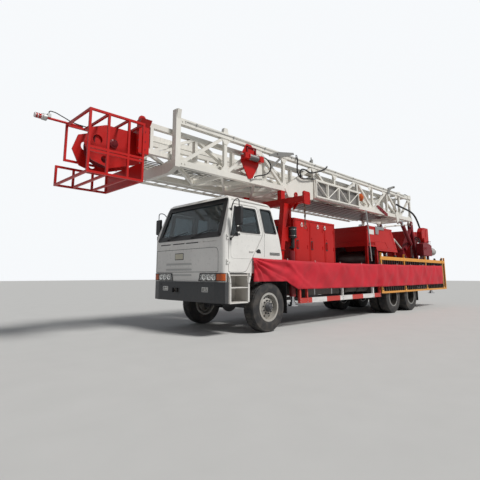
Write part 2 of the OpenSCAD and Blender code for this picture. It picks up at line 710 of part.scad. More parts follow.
// Each leg of the rest: its outline, the arch between its feet and the slot above
leg_outline = [[-660, deck_z], [-920, rest_z - 80], [engine_front + 10, rest_z - 80], [engine_front + 10, deck_z]];
leg_arch = [[-790, deck_z + 30], [-930, 2060], [-1125, 2060], [-1125, deck_z + 30]];
leg_slot = [[-1105, 2880], [-955, 2400], [-1130, 2460]];
module rest_lug() difference() {
    union() {
        translate([engine_front, lug_z]) circle(62);
        translate([engine_front - 62, rest_z + 79]) square([124, lug_z - rest_z - 79]);
    }
    translate([engine_front, lug_z]) circle(25);
}
module mast_rest() color(red) on_truck() {
    block([engine_front - rest_half, -rest_end_y, rest_z - 80], [engine_front + rest_half, rest_end_y, rest_z + 80]);
    both_sides() {
        upright(rest_end_y, rest_end_y + 50) translate([engine_front, rest_z + 20])
            polygon(softened([[-130, -160], [130, -160], [130, 160], [-130, 160]], [60, 60, 60, 60]));
        for (y = lug_y) upright(y, y + 30) rest_lug();
        block([engine_front - 80, mast_in, rest_z + 80], [engine_front + 80, mast_out, mast_z - touch]);
        upright(leg_y[0], leg_y[1]) difference() {
            polygon(leg_outline);
            polygon(leg_arch);
            polygon(leg_slot);
        }
    }
}
base_tube = 110;
pivot_r = 40;
lug_t = 70;
clevis_gap = 6;
clevis_t = 36;
// Cross tubes of the base frame: x, z
base_cross = [[-8600, 2160], [-9300, 1450]];
module clevis_plate(y) upright(y - clevis_t / 2, y + clevis_t / 2) difference() {
    union() {
        translate([pivot_x, pivot_z]) circle(105);
        member([pivot_x, pivot_z], [pivot_x - 15, pivot_z - 300], 190);
    }
    translate([pivot_x, pivot_z]) circle(pivot_r + run_gap);
}
module base_side() {
    upright(mast_y - base_tube / 2, mast_y + base_tube / 2) intersection() {
        union() {
            member([pivot_x - 10, pivot_z - 150], [-8600, 2160], base_tube);
            member([-8600, 2160], [-8250, deck_z - 60], base_tube);
            member([pivot_x - 30, pivot_z - 150], [-10150, deck_z - 60], base_tube);
            member([-8600, 2160], [-9650, deck_z - 60], 80);
        }
        translate([-11000, deck_z]) square([3000, pivot_z - deck_z]);
    }
    for (s = [-1, 1]) clevis_plate(mast_y + s * (lug_t / 2 + clevis_gap + clevis_t / 2));
    upright(mast_y + base_tube / 2, ram_y - barrel_r - clevis_gap) {
        translate([ram_x, ram_z]) circle(90);
        member([ram_x, ram_z], [-8680, 2230], 150);
    }
    bar_y(ram_x, ram_z, ram_y - barrel_r - clevis_gap, ram_y + 70, ram_pin_r);
}
module mast_base_frame() color(dark_red) on_truck() {
    both_sides() base_side();
    for (p = base_cross) block([p[0] - 50, -mast_y + base_tube / 2, p[1] - 50],
        [p[0] + 50, mast_y - base_tube / 2, p[1] + 50]);
}
ram_x = pivot_x + ram_base_x;
ram_z = pivot_z - ram_base_z;
ram_pin_r = 30;
side_unit_y = [765, 960];
module rear_housing() color(red) on_truck() {
    block([-10600, -500, deck_z], [-9750, 500, 3060]);
    upright(side_unit_y[0], side_unit_y[1]) polygon(softened([[-10600, 2560], [-10600, 3180], [-10050, 3180],
        [-9880, 3000], [-9880, 2560]], [60, 60, 60, 60, 60]));
    block([-10280, 780, deck_z], [-10120, 860, 2580]);
    bar_y(-10000, 2640, side_unit_y[1] - 1, side_unit_y[1] + 90, 120);
}
module control_box() color(dark_red) on_truck() {
    block([-10250, 900, 2000], [-9350, 1180, 2420]);
    bar_x(1040, 2200, -10700, -10250, 150);
    for (x = [-10150, -9450]) block([x - 40, 1000, deck_z], [x + 40, 1080, 2000]);
}
jack_r = 80;
module jack_barrel(at) translate([at[0], at[1], 0]) difference() {
    union() {
        translate([0, 0, 720]) cylinder(h = 1100, r = jack_r);
        translate([0, 0, deck_z]) cylinder(h = 20, r = jack_r + 35);
    }
    translate([0, 0, 700]) cylinder(h = 1090, r = leg_r + run_gap);
}
module jack_barrels() color(dark_red) on_truck() both_sides() {
    jack_barrel(jack_front);
    jack_barrel(jack_back);
}
module jack_leg(at) translate([at[0], at[1], 0]) {
    translate([0, 0, foot_z + 29]) cylinder(h = 1180, r = leg_r);
    translate([0, 0, foot_z]) cylinder(h = 30, r = foot_r);
    translate([0, 0, foot_z + 30]) cylinder(h = 60, r = leg_r + 25);
}
module jack_leg_front_left() color(silver) on_truck() jack_leg(jack_front);
module jack_leg_front_right() color(silver) on_truck() mirror([0, 1, 0]) jack_leg(jack_front);
module jack_leg_rear_left() color(silver) on_truck() jack_leg(jack_back);
module jack_leg_rear_right() color(silver) on_truck() mirror([0, 1, 0]) jack_leg(jack_back);

// Folded platforms and the cloth along the left side

module platform() on_truck() upright(side_y + touch, side_y + touch + platform_t) {
    posts = [platform_front, -7180, -9170, -11000];
    for (x = posts) member([x, 690], [x, 1950], 60);
    member([platform_rear + 30, 690], [platform_rear + 30, 1950], 60);
    translate([platform_rear, 660]) square([platform_front - platform_rear + 30, 60]);
    translate([platform_rear, 1720]) square([platform_front - platform_rear + 30, 110]);
    for (x = [platform_rear + 190:170:platform_front - 100]) translate([x, 700]) square([30, 1060]);
}
cloth_y = side_y + touch;
module platforms() color(yellow) both_sides() platform();
// The cloth hangs outside the platform and, ahead of it, against the deck's edge and the cab
module banner() color(cloth_red) on_truck() intersection() {
    lying(800, 1700) polygon([[600, cloth_y], [platform_front + 200, cloth_y],
        [platform_front + 100, cloth_y + platform_t + touch], [-10900, cloth_y + platform_t + touch],
        [-10900, cloth_y + platform_t + touch + cloth_t], [platform_front + 100, cloth_y + platform_t + touch + cloth_t],
        [platform_front + 200, cloth_y + cloth_t], [600, cloth_y + cloth_t]]);
    upright(1000, 1500) polygon([[570, 1600], [-2500, 1560], [-5400, 1575], [-10860, 1620],
        [-10800, 880], [-5400, 870], [-1200, 880], [-700, 900], [-660, 1085], [570, 1085]]);
}

// Mast

web_w = 70;
eye_plate_t = 25;
module side_frame(y, depth) {
    upright(y - chord_w / 2, y + chord_w / 2) {
        translate([mast_rear, mast_z]) square([mast_front - mast_rear, chord_h]);
        translate([mast_rear, mast_top - chord_h]) square([mast_front - mast_rear, chord_h]);
    }
    upright(y - web_w / 2, y + web_w / 2) {
        for (p = mast_posts) translate([p[0] - p[2] / 2, mast_z + 10]) square([p[2], mast_h - 20 + p[1]]);
        for (i = [0:len(mast_posts) - 2]) {
            a = mast_posts[i][0];
            b = mast_posts[i + 1][0];
            up = i % 2 == 0;
            member([a, mast_z + (up ? 80 : mast_h - 80)], [b, mast_z + (up ? mast_h - 80 : 80)], 70);
        }
        member([mast_front - 40, mast_z + 80], [mast_posts[0][0], mast_top - 80], 70);
    }
}
module mast_side() on_truck() {
    side_frame(mast_y);
    upright(mast_y - lug_t / 2, mast_y + lug_t / 2) {
        translate([pivot_x, pivot_z]) circle(80);
        polygon([[pivot_x - 80, pivot_z], [pivot_x - 80, mast_z + 10], [pivot_x + 260, mast_z + 10],
            [pivot_x + 75, pivot_z - 25]]);
    }
    bar_y(pivot_x, pivot_z, mast_y - 85, mast_y + 85, pivot_r);
    // Plate for the raising cylinder's eye
    upright(mast_out - 1, mast_out + eye_plate_t) polygon([[pivot_x + ram_eye_x - 150, mast_z + 120],
        [pivot_x + ram_eye_x + 150, mast_z + 120], [pivot_x + ram_eye_x + 60, pivot_z - ram_eye_z - 70],
        [pivot_x + ram_eye_x - 60, pivot_z - ram_eye_z - 70]]);
}
// Side plate over the mast rest, x and z
saddle_plate = [[-1270, 3491], [-1413, 3290], [-2003, 3290], [-2540, 3360], [-2570, 3926], [-1932, 3935],
    [-1500, 3700]];
board_z = [3440, 3950];
board_x = [-5130, -2570];
board_y = mast_out + 60;
module mast_gusset() on_truck() upright(mast_out - 1, mast_out + 14) polygon(saddle_plate);
// The racking board folded against the left side: two rails, posts and its floor plate
module racking_board() on_truck() {
    upright(mast_out - 1, board_y) {
        for (z = board_z) translate([board_x[0], z - 30]) square([board_x[1] - board_x[0], 60]);
        for (k = [0:4]) translate([board_x[0] + k * (board_x[1] - board_x[0] - 50) / 4, board_z[0]])
            square([50, board_z[1] - board_z[0]]);
    }
    upright(mast_out + 8, mast_out + 16) translate([board_x[0], board_z[0]])
        square([board_x[1] - board_x[0], board_z[1] - board_z[0]]);
}
module mast_sides() color(cream) {
    both_sides() {
        mast_side();
        mast_gusset();
    }
    racking_board();
}
// Ladder along the outside of the right lower chord
ladder_y = [mast_out + 30, mast_out + 400];
ladder_z = mast_z - 20;
ladder_x = [-7800, 2050];
// Brackets that carry the ladder: x
ladder_bracket_x = [-7700, -6300, -4250, -2650, -1100, 500, 1900];
module mast_ladder() color(cream) on_truck() mirror([0, 1, 0]) {
    for (y = ladder_y) block([ladder_x[0], y, ladder_z], [ladder_x[1], y + 30, ladder_z + 60]);
    for (x = [ladder_x[0] + 100:300:ladder_x[1]]) bar_y(x, ladder_z + 30, ladder_y[0], ladder_y[1] + 1, 13);
    for (x = ladder_bracket_x)
        block([x - 30, mast_out + touch, ladder_z + 25], [x + 30, ladder_y[0] + 1, ladder_z + 50]);
}
// Small winch on the left side of the mast, with its bracket
winch_x = 60;
winch_z = 4010;
module mast_winch() color(red) on_truck() {
    upright(mast_out, mast_out + 20) polygon([[winch_x - 300, winch_z - 120], [winch_x - 60, mast_z + 90],
        [winch_x + 60, mast_z + 90], [winch_x + 300, winch_z - 120], [winch_x + 300, winch_z + 60],
        [winch_x + 120, mast_top - 90], [winch_x - 40, mast_top - 90], [winch_x - 300, winch_z + 60]]);
    bar_x(mast_out + 110, winch_z, winch_x - 200, winch_x + 200, 60);
    for (s = [-1, 1]) {
        bar_x(mast_out + 110, winch_z, winch_x + s * 180 - 15, winch_x + s * 180 + 15, 88);
        block([winch_x + s * 260 - 60, mast_out + 19, winch_z - 70], [winch_x + s * 260 + 60, mast_out + 180, winch_z + 70]);
    }
    bar_x(mast_out + 110, winch_z, winch_x - 320, winch_x + 320, 30);
}
module mast_bracing() lying(mast_z + 10, mast_z + chord_h - 20) {
    for (p = mast_posts) translate([p[0] - 45, -mast_in]) square([90, 2 * mast_in]);
    for (i = [0:len(mast_posts) - 2]) for (s = [-1, 1])
        member([mast_posts[i][0], s * (mast_in - 40)], [mast_posts[i + 1][0], -s * (mast_in - 40)], 60);
    member([mast_front - 50, mast_in - 60], [mast_posts[0][0], -mast_in + 60], 60);
}
// Lengthwise boards under the bracing: y of each one's middle
belly_y = [-450, -270, -90, 90, 270, 450];
belly_x = [-7600, -2600];
module mast_belly() {
    for (y = belly_y) block([belly_x[0], y - 60, mast_z - 50], [belly_x[1], y + 60, mast_z - 30]);
    for (x = [belly_x[0] + 40:990:belly_x[1]]) block([x - 30, -mast_in + touch, mast_z - 31],
        [x + 30, mast_in - touch, mast_z + 11]);
}
module mast_end_frame() color(cream) on_truck() crosswise(mast_front, mast_front + 120) polygon([
    [-mast_out, 4620], [-mast_out, 3400], [-mast_out + 250, 3300], [mast_out - 250, 3300], [mast_out, 3400],
    [mast_out, 4620], [mast_in - 10, 4620], [mast_in - 10, 3620], [mast_in - 60, mast_z + 110],
    [-mast_in + 60, mast_z + 110], [-mast_in + 10, 3620], [-mast_in + 10, 4620]]);
// Shoes that the upper section slides on
module mast_shoes() for (x = [mast_front - 1280, -3800, -8560]) both_sides()
    block([x - 60, inner_y - 40, mast_z + chord_h - 20], [x + 60, inner_y + 40, inner_z - touch]);
module mast_back() color(cream) on_truck() {
    mast_bracing();
    mast_belly();
    mast_shoes();
}
inner_posts = [for (k = [0:10]) inner_front - 60 - k * (inner_front - inner_rear - 120) / 10];
module upper_side() on_truck() upright(inner_y - inner_chord / 2, inner_y + inner_chord / 2) {
    translate([inner_rear, inner_z]) square([inner_front - inner_rear, inner_chord]);
    translate([inner_rear, inner_z + inner_h - inner_chord]) square([inner_front - inner_rear, inner_chord]);
    for (x = inner_posts) translate([x - 35, inner_z + 10]) square([70, inner_h - 20]);
    for (i = [0:len(inner_posts) - 2]) member(
        [inner_posts[i], inner_z + (i % 2 == 0 ? 60 : inner_h - 60)],
        [inner_posts[i + 1], inner_z + (i % 2 == 0 ? inner_h - 60 : 60)], 60);
}
module upper_back() on_truck() lying(inner_z + 10, inner_z + 80) {
    w = inner_y - inner_chord / 2 - touch;
    for (x = inner_posts) translate([x - 35, -w]) square([70, 2 * w]);
    for (i = [0:len(inner_posts) - 2]) member([inner_posts[i], (i % 2 == 0 ? 1 : -1) * (w - 30)],
        [inner_posts[i + 1], (i % 2 == 0 ? -1 : 1) * (w - 30)], 50);
}
module upper_mast() color(cream) {
    both_sides() upper_side();
    upper_back();
}
module crown_frame() color(red) on_truck() {
    block([inner_front, -520, 3560], [inner_front + 60, 520, 4230]);
    both_sides() {
        block([inner_front + 60, 430, 3560], [inner_front + 230, 520, 4230]);
        upright(255, 285) difference() {
            polygon([[inner_front + 60, 3400], [inner_front + 60, 4020], [3500, 4020], [3800, 3900], [3900, 3600],
                [3750, 3300], [3400, 3200]]);
            translate([3650, 3700]) circle(90);
            translate([3500, 3350]) circle(70);
        }
    }
    // Padeye and flared bracket on the base beam
    upright(455, 495) difference() {
        polygon(softened([[inner_front + 60, 4229], [inner_front + 230, 4229], [inner_front + 200, 4330],
            [inner_front + 90, 4330]], [0, 0, 45, 45]));
        translate([inner_front + 145, 4270]) circle(22);
    }
    both_sides() crosswise(inner_front, inner_front + 230) polygon([[519, 4100], [620, 4230], [519, 4230]]);
    bar_y(3350, 3680, -290, 290, 50);
    for (y = [-210, -105, 0, 105, 210]) bar_y(3350, 3680, y - 35, y + 35, sheave_r);
}
module guard_bar(low, high) block(low, high + [guard_t, guard_t, guard_t]);
guard_back = inner_front + 230;
// Bars across the guard: x
guard_x = [guard_back, guard_back + 300, guard_front - 340, guard_front];
guard_top = 4030;
guard_low = 2930;
guard_mid = 3300;
module crown_guard() color(red) on_truck() {
    near = guard_y - guard_t;
    for (y = [-guard_y, near]) {
        for (z = [guard_low, guard_mid]) guard_bar([guard_back, y, z], [guard_front, y, z]);
        for (x = guard_x) guard_bar([x, y, guard_low], [x, y, guard_mid]);
    }
    for (x = guard_x) {
        guard_bar([x, near, guard_mid], [x, near, guard_top]);
        guard_bar([x, -guard_y, guard_low], [x, near, guard_low]);
        guard_bar([x, -340, guard_top], [x, near, guard_top]);
    }
    for (z = [guard_mid + 60, guard_top]) guard_bar([guard_back, near, z], [guard_front, near, z]);
    guard_bar([guard_back, -340, guard_top], [guard_front, -340, guard_top]);
    guard_bar([guard_front, -340, 3340], [guard_front, -340, guard_top]);
    guard_bar([guard_back, -340, 3340], [guard_front, -340, 3340]);
    block([guard_back + 10, -guard_y, guard_low], [guard_back + 20, near, guard_mid + 10]);
}
beacon_pole_r = 18;
beacon_z = guard_top + guard_t + beacon_pole_r + touch;
module beacon() color(red) on_truck() {
    bar_x(-320, beacon_z, guard_front - 280, beacon_x - 200, beacon_pole_r);
    bar_x(-320, beacon_z, beacon_x - 201, beacon_x - 120, 55);
    bar_x(-320, beacon_z, beacon_x - 121, beacon_x, 45);
}

// Raising cylinders: measured along the cylinder from the base pin

module along_ram() translate([ram_x, 0, ram_z]) rotate([0, 90 - ram_tilt, 0]) translate([0, ram_y, 0]) children();
stage_r = barrel_r - 12;
rod_r = stage_r - 12;
module raise_barrel() on_truck() along_ram() difference() {
    union() {
        translate([0, 0, 60]) cylinder(h = ram_len - 230, r = barrel_r);
        translate([0, 50, 0]) rotate([90, 0, 0]) cylinder(h = 100, r = 65);
        translate([-40, -50, 0]) cube([80, 100, 90]);
    }
    translate([0, 0, 110]) cylinder(h = ram_len, r = stage_r + run_gap);
    translate([0, 60, 0]) rotate([90, 0, 0]) cylinder(h = 120, r = ram_pin_r + run_gap);
}
module raise_stage() on_truck() along_ram() difference() {
    translate([0, 0, 120]) cylinder(h = ram_len - 270, r = stage_r);
    translate([0, 0, 150]) cylinder(h = ram_len, r = rod_r + run_gap);
}
module raise_rod() on_truck() along_ram() {
    translate([0, 0, 160]) cylinder(h = ram_len - 220, r = rod_r);
    translate([0, 50, ram_len]) rotate([90, 0, 0]) cylinder(h = 100, r = 65);
    translate([0, 70, ram_len]) rotate([90, 0, 0])
        cylinder(h = 70 + ram_y - mast_out - eye_plate_t - clevis_gap, r = ram_pin_r);
}
module raise_barrels() color(grey) {
    raise_barrel();
    mirror([0, 1, 0]) raise_barrel();
}
module raise_stages() color(silver) {
    raise_stage();
    mirror([0, 1, 0]) raise_stage();
}
module raise_rods() color(silver) {
    raise_rod();
    mirror([0, 1, 0]) raise_rod();
}

chassis_frame();
axles();
leaf_springs();
fuel_tanks();
deck();
engine_block();
cab_shell();
cab_glass();
cab_interior();
bumper();
lamps();
step_wells();
side_guards();
mast_rest();
engine_cabinet();
cabinet_doors();
drawworks_house();
drawworks_drum();
mast_base_frame();
rear_housing();
control_box();
platforms();
banner();
jack_barrels();
knuckle_left();
knuckle_right();
tyre_front_left();
rim_front_left();
tyre_front_right();
rim_front_right();
tyre_middle_left();
rim_middle_left();
tyre_middle_right();
rim_middle_right();
tyre_rear_left();
rim_rear_left();
tyre_rear_right();
rim_rear_right();
door_left();
door_glass_left();
mirror_left();
door_right();
door_glass_right();
mirror_right();
mast_sides();
mast_back();
mast_end_frame();
mast_ladder();
mast_winch();
upper_mast();
crown_frame();
crown_guard();
beacon();
raise_barrels();
raise_stages();
raise_rods();
jack_leg_front_left();
jack_leg_front_right();
jack_leg_rear_left();
jack_leg_rear_right();
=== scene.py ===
# %% [markdown]
# # A truck-mounted workover rig, dressed in Blender
# The CAD model gives every main form of the rig: cab, cabinets, mast, crown, wheels.
# This lesson adds what paint, rubber, cloth and small hardware give the real one. Nothing
# of the CAD is moved. New pieces are modelled in metres, measured from the front axle,
# and each one rides on a CAD body, so it follows the joints.

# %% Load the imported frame
import json
import math
from contextlib import contextmanager

import bmesh
import bpy
from mathutils import Matrix, Vector, noise
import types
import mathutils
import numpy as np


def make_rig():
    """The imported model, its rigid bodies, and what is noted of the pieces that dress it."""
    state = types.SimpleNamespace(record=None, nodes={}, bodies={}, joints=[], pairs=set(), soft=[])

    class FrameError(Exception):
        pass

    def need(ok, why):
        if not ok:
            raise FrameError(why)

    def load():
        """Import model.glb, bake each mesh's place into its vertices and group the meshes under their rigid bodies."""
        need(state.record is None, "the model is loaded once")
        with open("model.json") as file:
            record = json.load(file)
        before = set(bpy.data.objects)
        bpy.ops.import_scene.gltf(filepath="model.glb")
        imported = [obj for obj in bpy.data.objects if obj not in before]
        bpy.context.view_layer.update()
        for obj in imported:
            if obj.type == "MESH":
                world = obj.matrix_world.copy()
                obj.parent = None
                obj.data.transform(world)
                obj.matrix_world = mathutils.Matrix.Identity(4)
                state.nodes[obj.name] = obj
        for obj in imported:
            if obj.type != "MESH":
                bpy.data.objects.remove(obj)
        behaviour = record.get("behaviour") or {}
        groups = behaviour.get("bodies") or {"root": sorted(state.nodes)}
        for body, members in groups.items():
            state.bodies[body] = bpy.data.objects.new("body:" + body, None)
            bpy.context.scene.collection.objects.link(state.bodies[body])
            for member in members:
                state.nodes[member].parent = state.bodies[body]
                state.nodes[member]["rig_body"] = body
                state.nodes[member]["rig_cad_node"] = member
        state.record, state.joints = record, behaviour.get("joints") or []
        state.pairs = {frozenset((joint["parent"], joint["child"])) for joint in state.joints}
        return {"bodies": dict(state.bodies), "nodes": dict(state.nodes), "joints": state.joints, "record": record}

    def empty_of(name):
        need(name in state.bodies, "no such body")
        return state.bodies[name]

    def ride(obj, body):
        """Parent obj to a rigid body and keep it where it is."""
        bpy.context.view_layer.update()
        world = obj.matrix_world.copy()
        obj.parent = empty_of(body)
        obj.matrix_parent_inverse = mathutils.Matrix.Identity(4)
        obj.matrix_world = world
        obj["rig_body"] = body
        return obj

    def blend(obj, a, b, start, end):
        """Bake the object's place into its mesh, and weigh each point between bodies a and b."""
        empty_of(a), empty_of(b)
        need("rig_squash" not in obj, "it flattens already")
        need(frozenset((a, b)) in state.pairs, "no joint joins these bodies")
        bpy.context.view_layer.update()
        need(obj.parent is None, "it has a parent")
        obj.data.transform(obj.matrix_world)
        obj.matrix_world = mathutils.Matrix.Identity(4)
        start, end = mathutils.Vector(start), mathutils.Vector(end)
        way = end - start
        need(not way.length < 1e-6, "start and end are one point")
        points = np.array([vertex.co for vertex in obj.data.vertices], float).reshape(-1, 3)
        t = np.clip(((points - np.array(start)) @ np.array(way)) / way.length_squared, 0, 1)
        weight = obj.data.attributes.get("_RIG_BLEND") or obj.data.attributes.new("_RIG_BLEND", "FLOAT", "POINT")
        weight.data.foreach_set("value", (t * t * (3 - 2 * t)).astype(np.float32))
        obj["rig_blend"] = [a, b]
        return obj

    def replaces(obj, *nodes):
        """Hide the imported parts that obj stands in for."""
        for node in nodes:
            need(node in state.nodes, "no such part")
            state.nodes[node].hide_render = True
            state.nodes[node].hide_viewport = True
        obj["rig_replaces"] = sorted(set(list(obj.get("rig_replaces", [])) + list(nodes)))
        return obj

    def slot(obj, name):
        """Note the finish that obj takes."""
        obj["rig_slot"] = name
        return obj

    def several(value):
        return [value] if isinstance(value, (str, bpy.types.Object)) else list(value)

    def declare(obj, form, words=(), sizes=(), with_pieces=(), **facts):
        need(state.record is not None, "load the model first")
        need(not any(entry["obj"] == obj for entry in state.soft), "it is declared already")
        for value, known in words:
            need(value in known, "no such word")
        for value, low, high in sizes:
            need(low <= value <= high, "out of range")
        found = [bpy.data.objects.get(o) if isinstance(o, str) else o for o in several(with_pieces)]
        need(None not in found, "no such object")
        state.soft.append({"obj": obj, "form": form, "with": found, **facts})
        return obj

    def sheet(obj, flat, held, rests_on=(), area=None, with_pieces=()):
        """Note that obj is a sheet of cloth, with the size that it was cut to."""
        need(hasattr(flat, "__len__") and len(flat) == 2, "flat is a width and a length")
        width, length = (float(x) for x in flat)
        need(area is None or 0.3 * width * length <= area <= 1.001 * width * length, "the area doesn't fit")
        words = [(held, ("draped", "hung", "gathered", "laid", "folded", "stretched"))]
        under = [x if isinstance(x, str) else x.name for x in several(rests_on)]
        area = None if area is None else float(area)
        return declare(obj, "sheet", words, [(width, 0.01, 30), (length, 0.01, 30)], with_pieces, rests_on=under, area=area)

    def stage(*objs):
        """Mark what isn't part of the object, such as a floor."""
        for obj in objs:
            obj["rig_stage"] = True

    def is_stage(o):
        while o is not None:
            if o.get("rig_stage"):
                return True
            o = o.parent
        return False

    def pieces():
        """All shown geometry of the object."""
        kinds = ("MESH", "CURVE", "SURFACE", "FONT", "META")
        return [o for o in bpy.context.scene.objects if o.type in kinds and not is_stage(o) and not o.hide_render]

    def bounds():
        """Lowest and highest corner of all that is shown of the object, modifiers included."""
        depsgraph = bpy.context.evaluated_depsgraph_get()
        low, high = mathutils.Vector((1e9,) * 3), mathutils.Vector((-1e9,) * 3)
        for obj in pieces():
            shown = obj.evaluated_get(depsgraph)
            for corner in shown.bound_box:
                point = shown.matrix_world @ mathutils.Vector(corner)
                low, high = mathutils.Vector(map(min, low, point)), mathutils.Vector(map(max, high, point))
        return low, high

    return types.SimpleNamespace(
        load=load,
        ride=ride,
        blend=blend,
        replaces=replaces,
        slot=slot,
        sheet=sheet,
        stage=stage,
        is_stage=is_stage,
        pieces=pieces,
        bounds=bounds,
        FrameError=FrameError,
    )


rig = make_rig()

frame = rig.load()
cad_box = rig.bounds()
front_axle_x = 3.36
middle_x = -6.26
rear_x = -7.69
sides = (("left", 1.0), ("right", -1.0))
both = (1.0, -1.0)
print("nodes:", len(frame["nodes"]), "bodies:", len(frame["bodies"]))

# %% [markdown]
# ## Camera and stage
# The photograph was taken by a person standing ahead of the rig on its left, a little
# below the headlamps' height, with a wide lens tilted up. The lens and the turn come from
# the vanishing points of the mast and the cab. A small vertical shift stands for the
# crop of the picture.

# %% Camera
camera_data = bpy.data.cameras.new("camera")
camera_data.lens = 29.09
camera_data.sensor_width = 36.0
camera_data.shift_y = -0.054
camera_data.clip_end = 200.0
camera = bpy.data.objects.new("camera", camera_data)
camera.location = (9.965, 6.992, 1.223)
camera.rotation_euler = (math.radians(98.979), 0.0, math.radians(135.285))
bpy.context.scene.collection.objects.link(camera)
bpy.context.scene.camera = camera

# %% [markdown]
# ## Shader maths in plain Python
# Materials are graphs of small nodes. Wiring each by hand hides the idea, so a socket is
# wrapped in a class whose operators add the Math nodes: 1 - mask is one node. Colours go
# through Mix, because a Math node would turn them grey.

# %% The wire and the finish
class Wire:
    """An output socket that works in Python expressions."""

    def __init__(self, finish, socket):
        self.finish = finish
        self.socket = socket

    def __add__(self, other):
        return self.finish.maths("ADD", self, other)

    def __sub__(self, other):
        return self.finish.maths("SUBTRACT", self, other)

    def __rsub__(self, other):
        return self.finish.maths("SUBTRACT", other, self)

    def __mul__(self, other):
        return self.finish.maths("MULTIPLY", self, other)

    def above(self, limit):
        return self.finish.maths("GREATER_THAN", self, limit)

    __radd__ = __add__
    __rmul__ = __mul__


# Blender adds a number to a name that is taken, so the name asked for is kept here
plain_name = {}


class Finish:
    """A material under construction: node() adds a node, sets it and wires it."""

    def __init__(self, name):
        self.material = bpy.data.materials.new(name)
        plain_name[self.material] = name
        self.material.use_nodes = True
        self.tree = self.material.node_tree
        self.tree.nodes.clear()

    def node(self, kind, settings=None, values=None, out=0):
        made = self.tree.nodes.new(kind)
        for key, value in (settings or {}).items():
            setattr(made, key, value)
        for key, value in (values or {}).items():
            if isinstance(value, Wire):
                self.tree.links.new(value.socket, made.inputs[key])
            else:
                made.inputs[key].default_value = value
        return Wire(self, made.outputs[out])

    def maths(self, operation, first, second):
        return self.node("ShaderNodeMath", {"operation": operation}, {0: first, 1: second})

    def place(self):
        return self.node("ShaderNodeTexCoord", out="Object")

    def axis(self, name):
        return self.node("ShaderNodeSeparateXYZ", None, {0: self.place()}, out=name)

    def grain(self, scale, detail=3.0, stretch=(1.0, 1.0, 1.0)):
        where = self.node("ShaderNodeMapping", None, {"Vector": self.place(), "Scale": stretch})
        return self.node("ShaderNodeTexNoise", None,
                         {"Vector": where, "Scale": scale, "Detail": detail}, out="Fac")

    def between(self, value, low, high):
        return self.node("ShaderNodeMapRange", {"clamp": True},
                         {"Value": value, "From Min": low, "From Max": high})

    def mix(self, factor, first, second):
        return self.node("ShaderNodeMix", {"data_type": "RGBA"},
                         {0: factor, 6: first, 7: second}, out=2)

    def surface(self, values, bump=None, bump_depth=0.001):
        if bump is not None:
            values["Normal"] = self.node("ShaderNodeBump", None, {
                "Height": bump, "Strength": 0.6, "Distance": bump_depth})
        shader = self.node("ShaderNodeBsdfPrincipled", None, values, out="BSDF")
        made = self.tree.nodes.new("ShaderNodeOutputMaterial")
        self.tree.links.new(shader.socket, made.inputs["Surface"])
        return self.material


def shade_of(colour, factor):
    return tuple(min(1.0, channel * factor) for channel in colour[:3]) + (1.0,)


# %% [markdown]
# ## Paint
# The rig is newly painted: white cab, cream mast, signal red boxes, maroon frames. Real
# paint is never one flat colour. It has broad tone changes from spraying, faint runs where
# rain has carried dirt down, road dust low on the vehicle and a fine orange peel that
# breaks up the gloss. All four come from noise on Object coordinates, in metres.

# %% Painted metal
dust_colour = (0.36, 0.31, 0.25, 1.0)


def paint(name, colour, roughness=0.32, coat=0.35, dust=0.5, runs=0.35, gloss=0.5,
          second=None, mask_of=None):
    """A worn coat of paint; mask_of may give a mask, and second is the colour where it is 1: a second paint, or
    painted shade.
    """
    f = Finish(name)
    broad = f.grain(1.1, 4.0)
    colour_a = f.mix(f.between(broad, 0.35, 0.68), shade_of(colour, 0.9), shade_of(colour, 1.05))
    run = f.grain(1.0, 4.0, (22.0, 22.0, 1.3))
    run_mask = f.between(run, 0.5, 0.85) * f.between(broad, 0.42, 0.62) * runs
    colour_b = f.mix(run_mask, colour_a, shade_of(colour, 0.52))
    if mask_of is not None:
        streak = f.grain(9.0, 5.0, (0.25, 1.0, 1.0))
        other = f.mix(streak, shade_of(second, 0.6), shade_of(second, 1.4))
        colour_b = f.mix(mask_of(f), colour_b, other)
    low = f.between(f.axis("Z") * -1.0, -1.55, -0.35)
    speck = f.grain(14.0, 6.0)
    dust_mask = low * (f.between(speck, 0.3, 0.8) * 0.7 + 0.3) * dust * 0.6
    rough = roughness + (f.between(speck, 0.3, 0.8) * 0.12) + (dust_mask * 0.35)
    return f.surface({"Base Color": f.mix(dust_mask, colour_b, dust_colour), "Roughness": rough,
                      "Coat Weight": coat, "Coat Roughness": 0.12, "IOR": 1.5,
                      "Specular IOR Level": gloss}, f.grain(160.0, 2.0), 0.0006)


cream = {"colour": (0.8, 0.78, 0.72), "roughness": 0.38, "coat": 0.2, "dust": 0.2, "runs": 0.5}
maroon = {"colour": (0.2, 0.01, 0.016), "roughness": 0.36, "coat": 0.08, "dust": 0.2, "gloss": 0.3}
yellow = {"colour": (0.78, 0.34, 0.045), "roughness": 0.4, "coat": 0.1, "dust": 0.4, "gloss": 0.35}
cab_paint = paint("cab_white", (0.8, 0.79, 0.76), roughness=0.25, coat=0.5, dust=0.4, runs=0.12)
mast_paint = paint("mast_cream", **cream)
red_paint = paint("rig_red", (0.5, 0.01, 0.008), roughness=0.34, coat=0.05, dust=0.08, runs=0.3, gloss=0.28)
maroon_paint = paint("frame_maroon", **maroon)
black_paint = paint("chassis_black", (0.022, 0.022, 0.024), roughness=0.45, coat=0.1, dust=0.9)
grey_paint = paint("bumper_grey", (0.036, 0.041, 0.048), roughness=0.46, coat=0.1, dust=0.25, gloss=0.4)
yellow_paint = paint("platform_yellow", **yellow)
rim_paint = paint("rim_silver", (0.42, 0.42, 0.4), roughness=0.36, coat=0.2, dust=1.0)
beacon_paint = paint("beacon_white", (0.72, 0.66, 0.66), roughness=0.3, coat=0.4, dust=0.2)


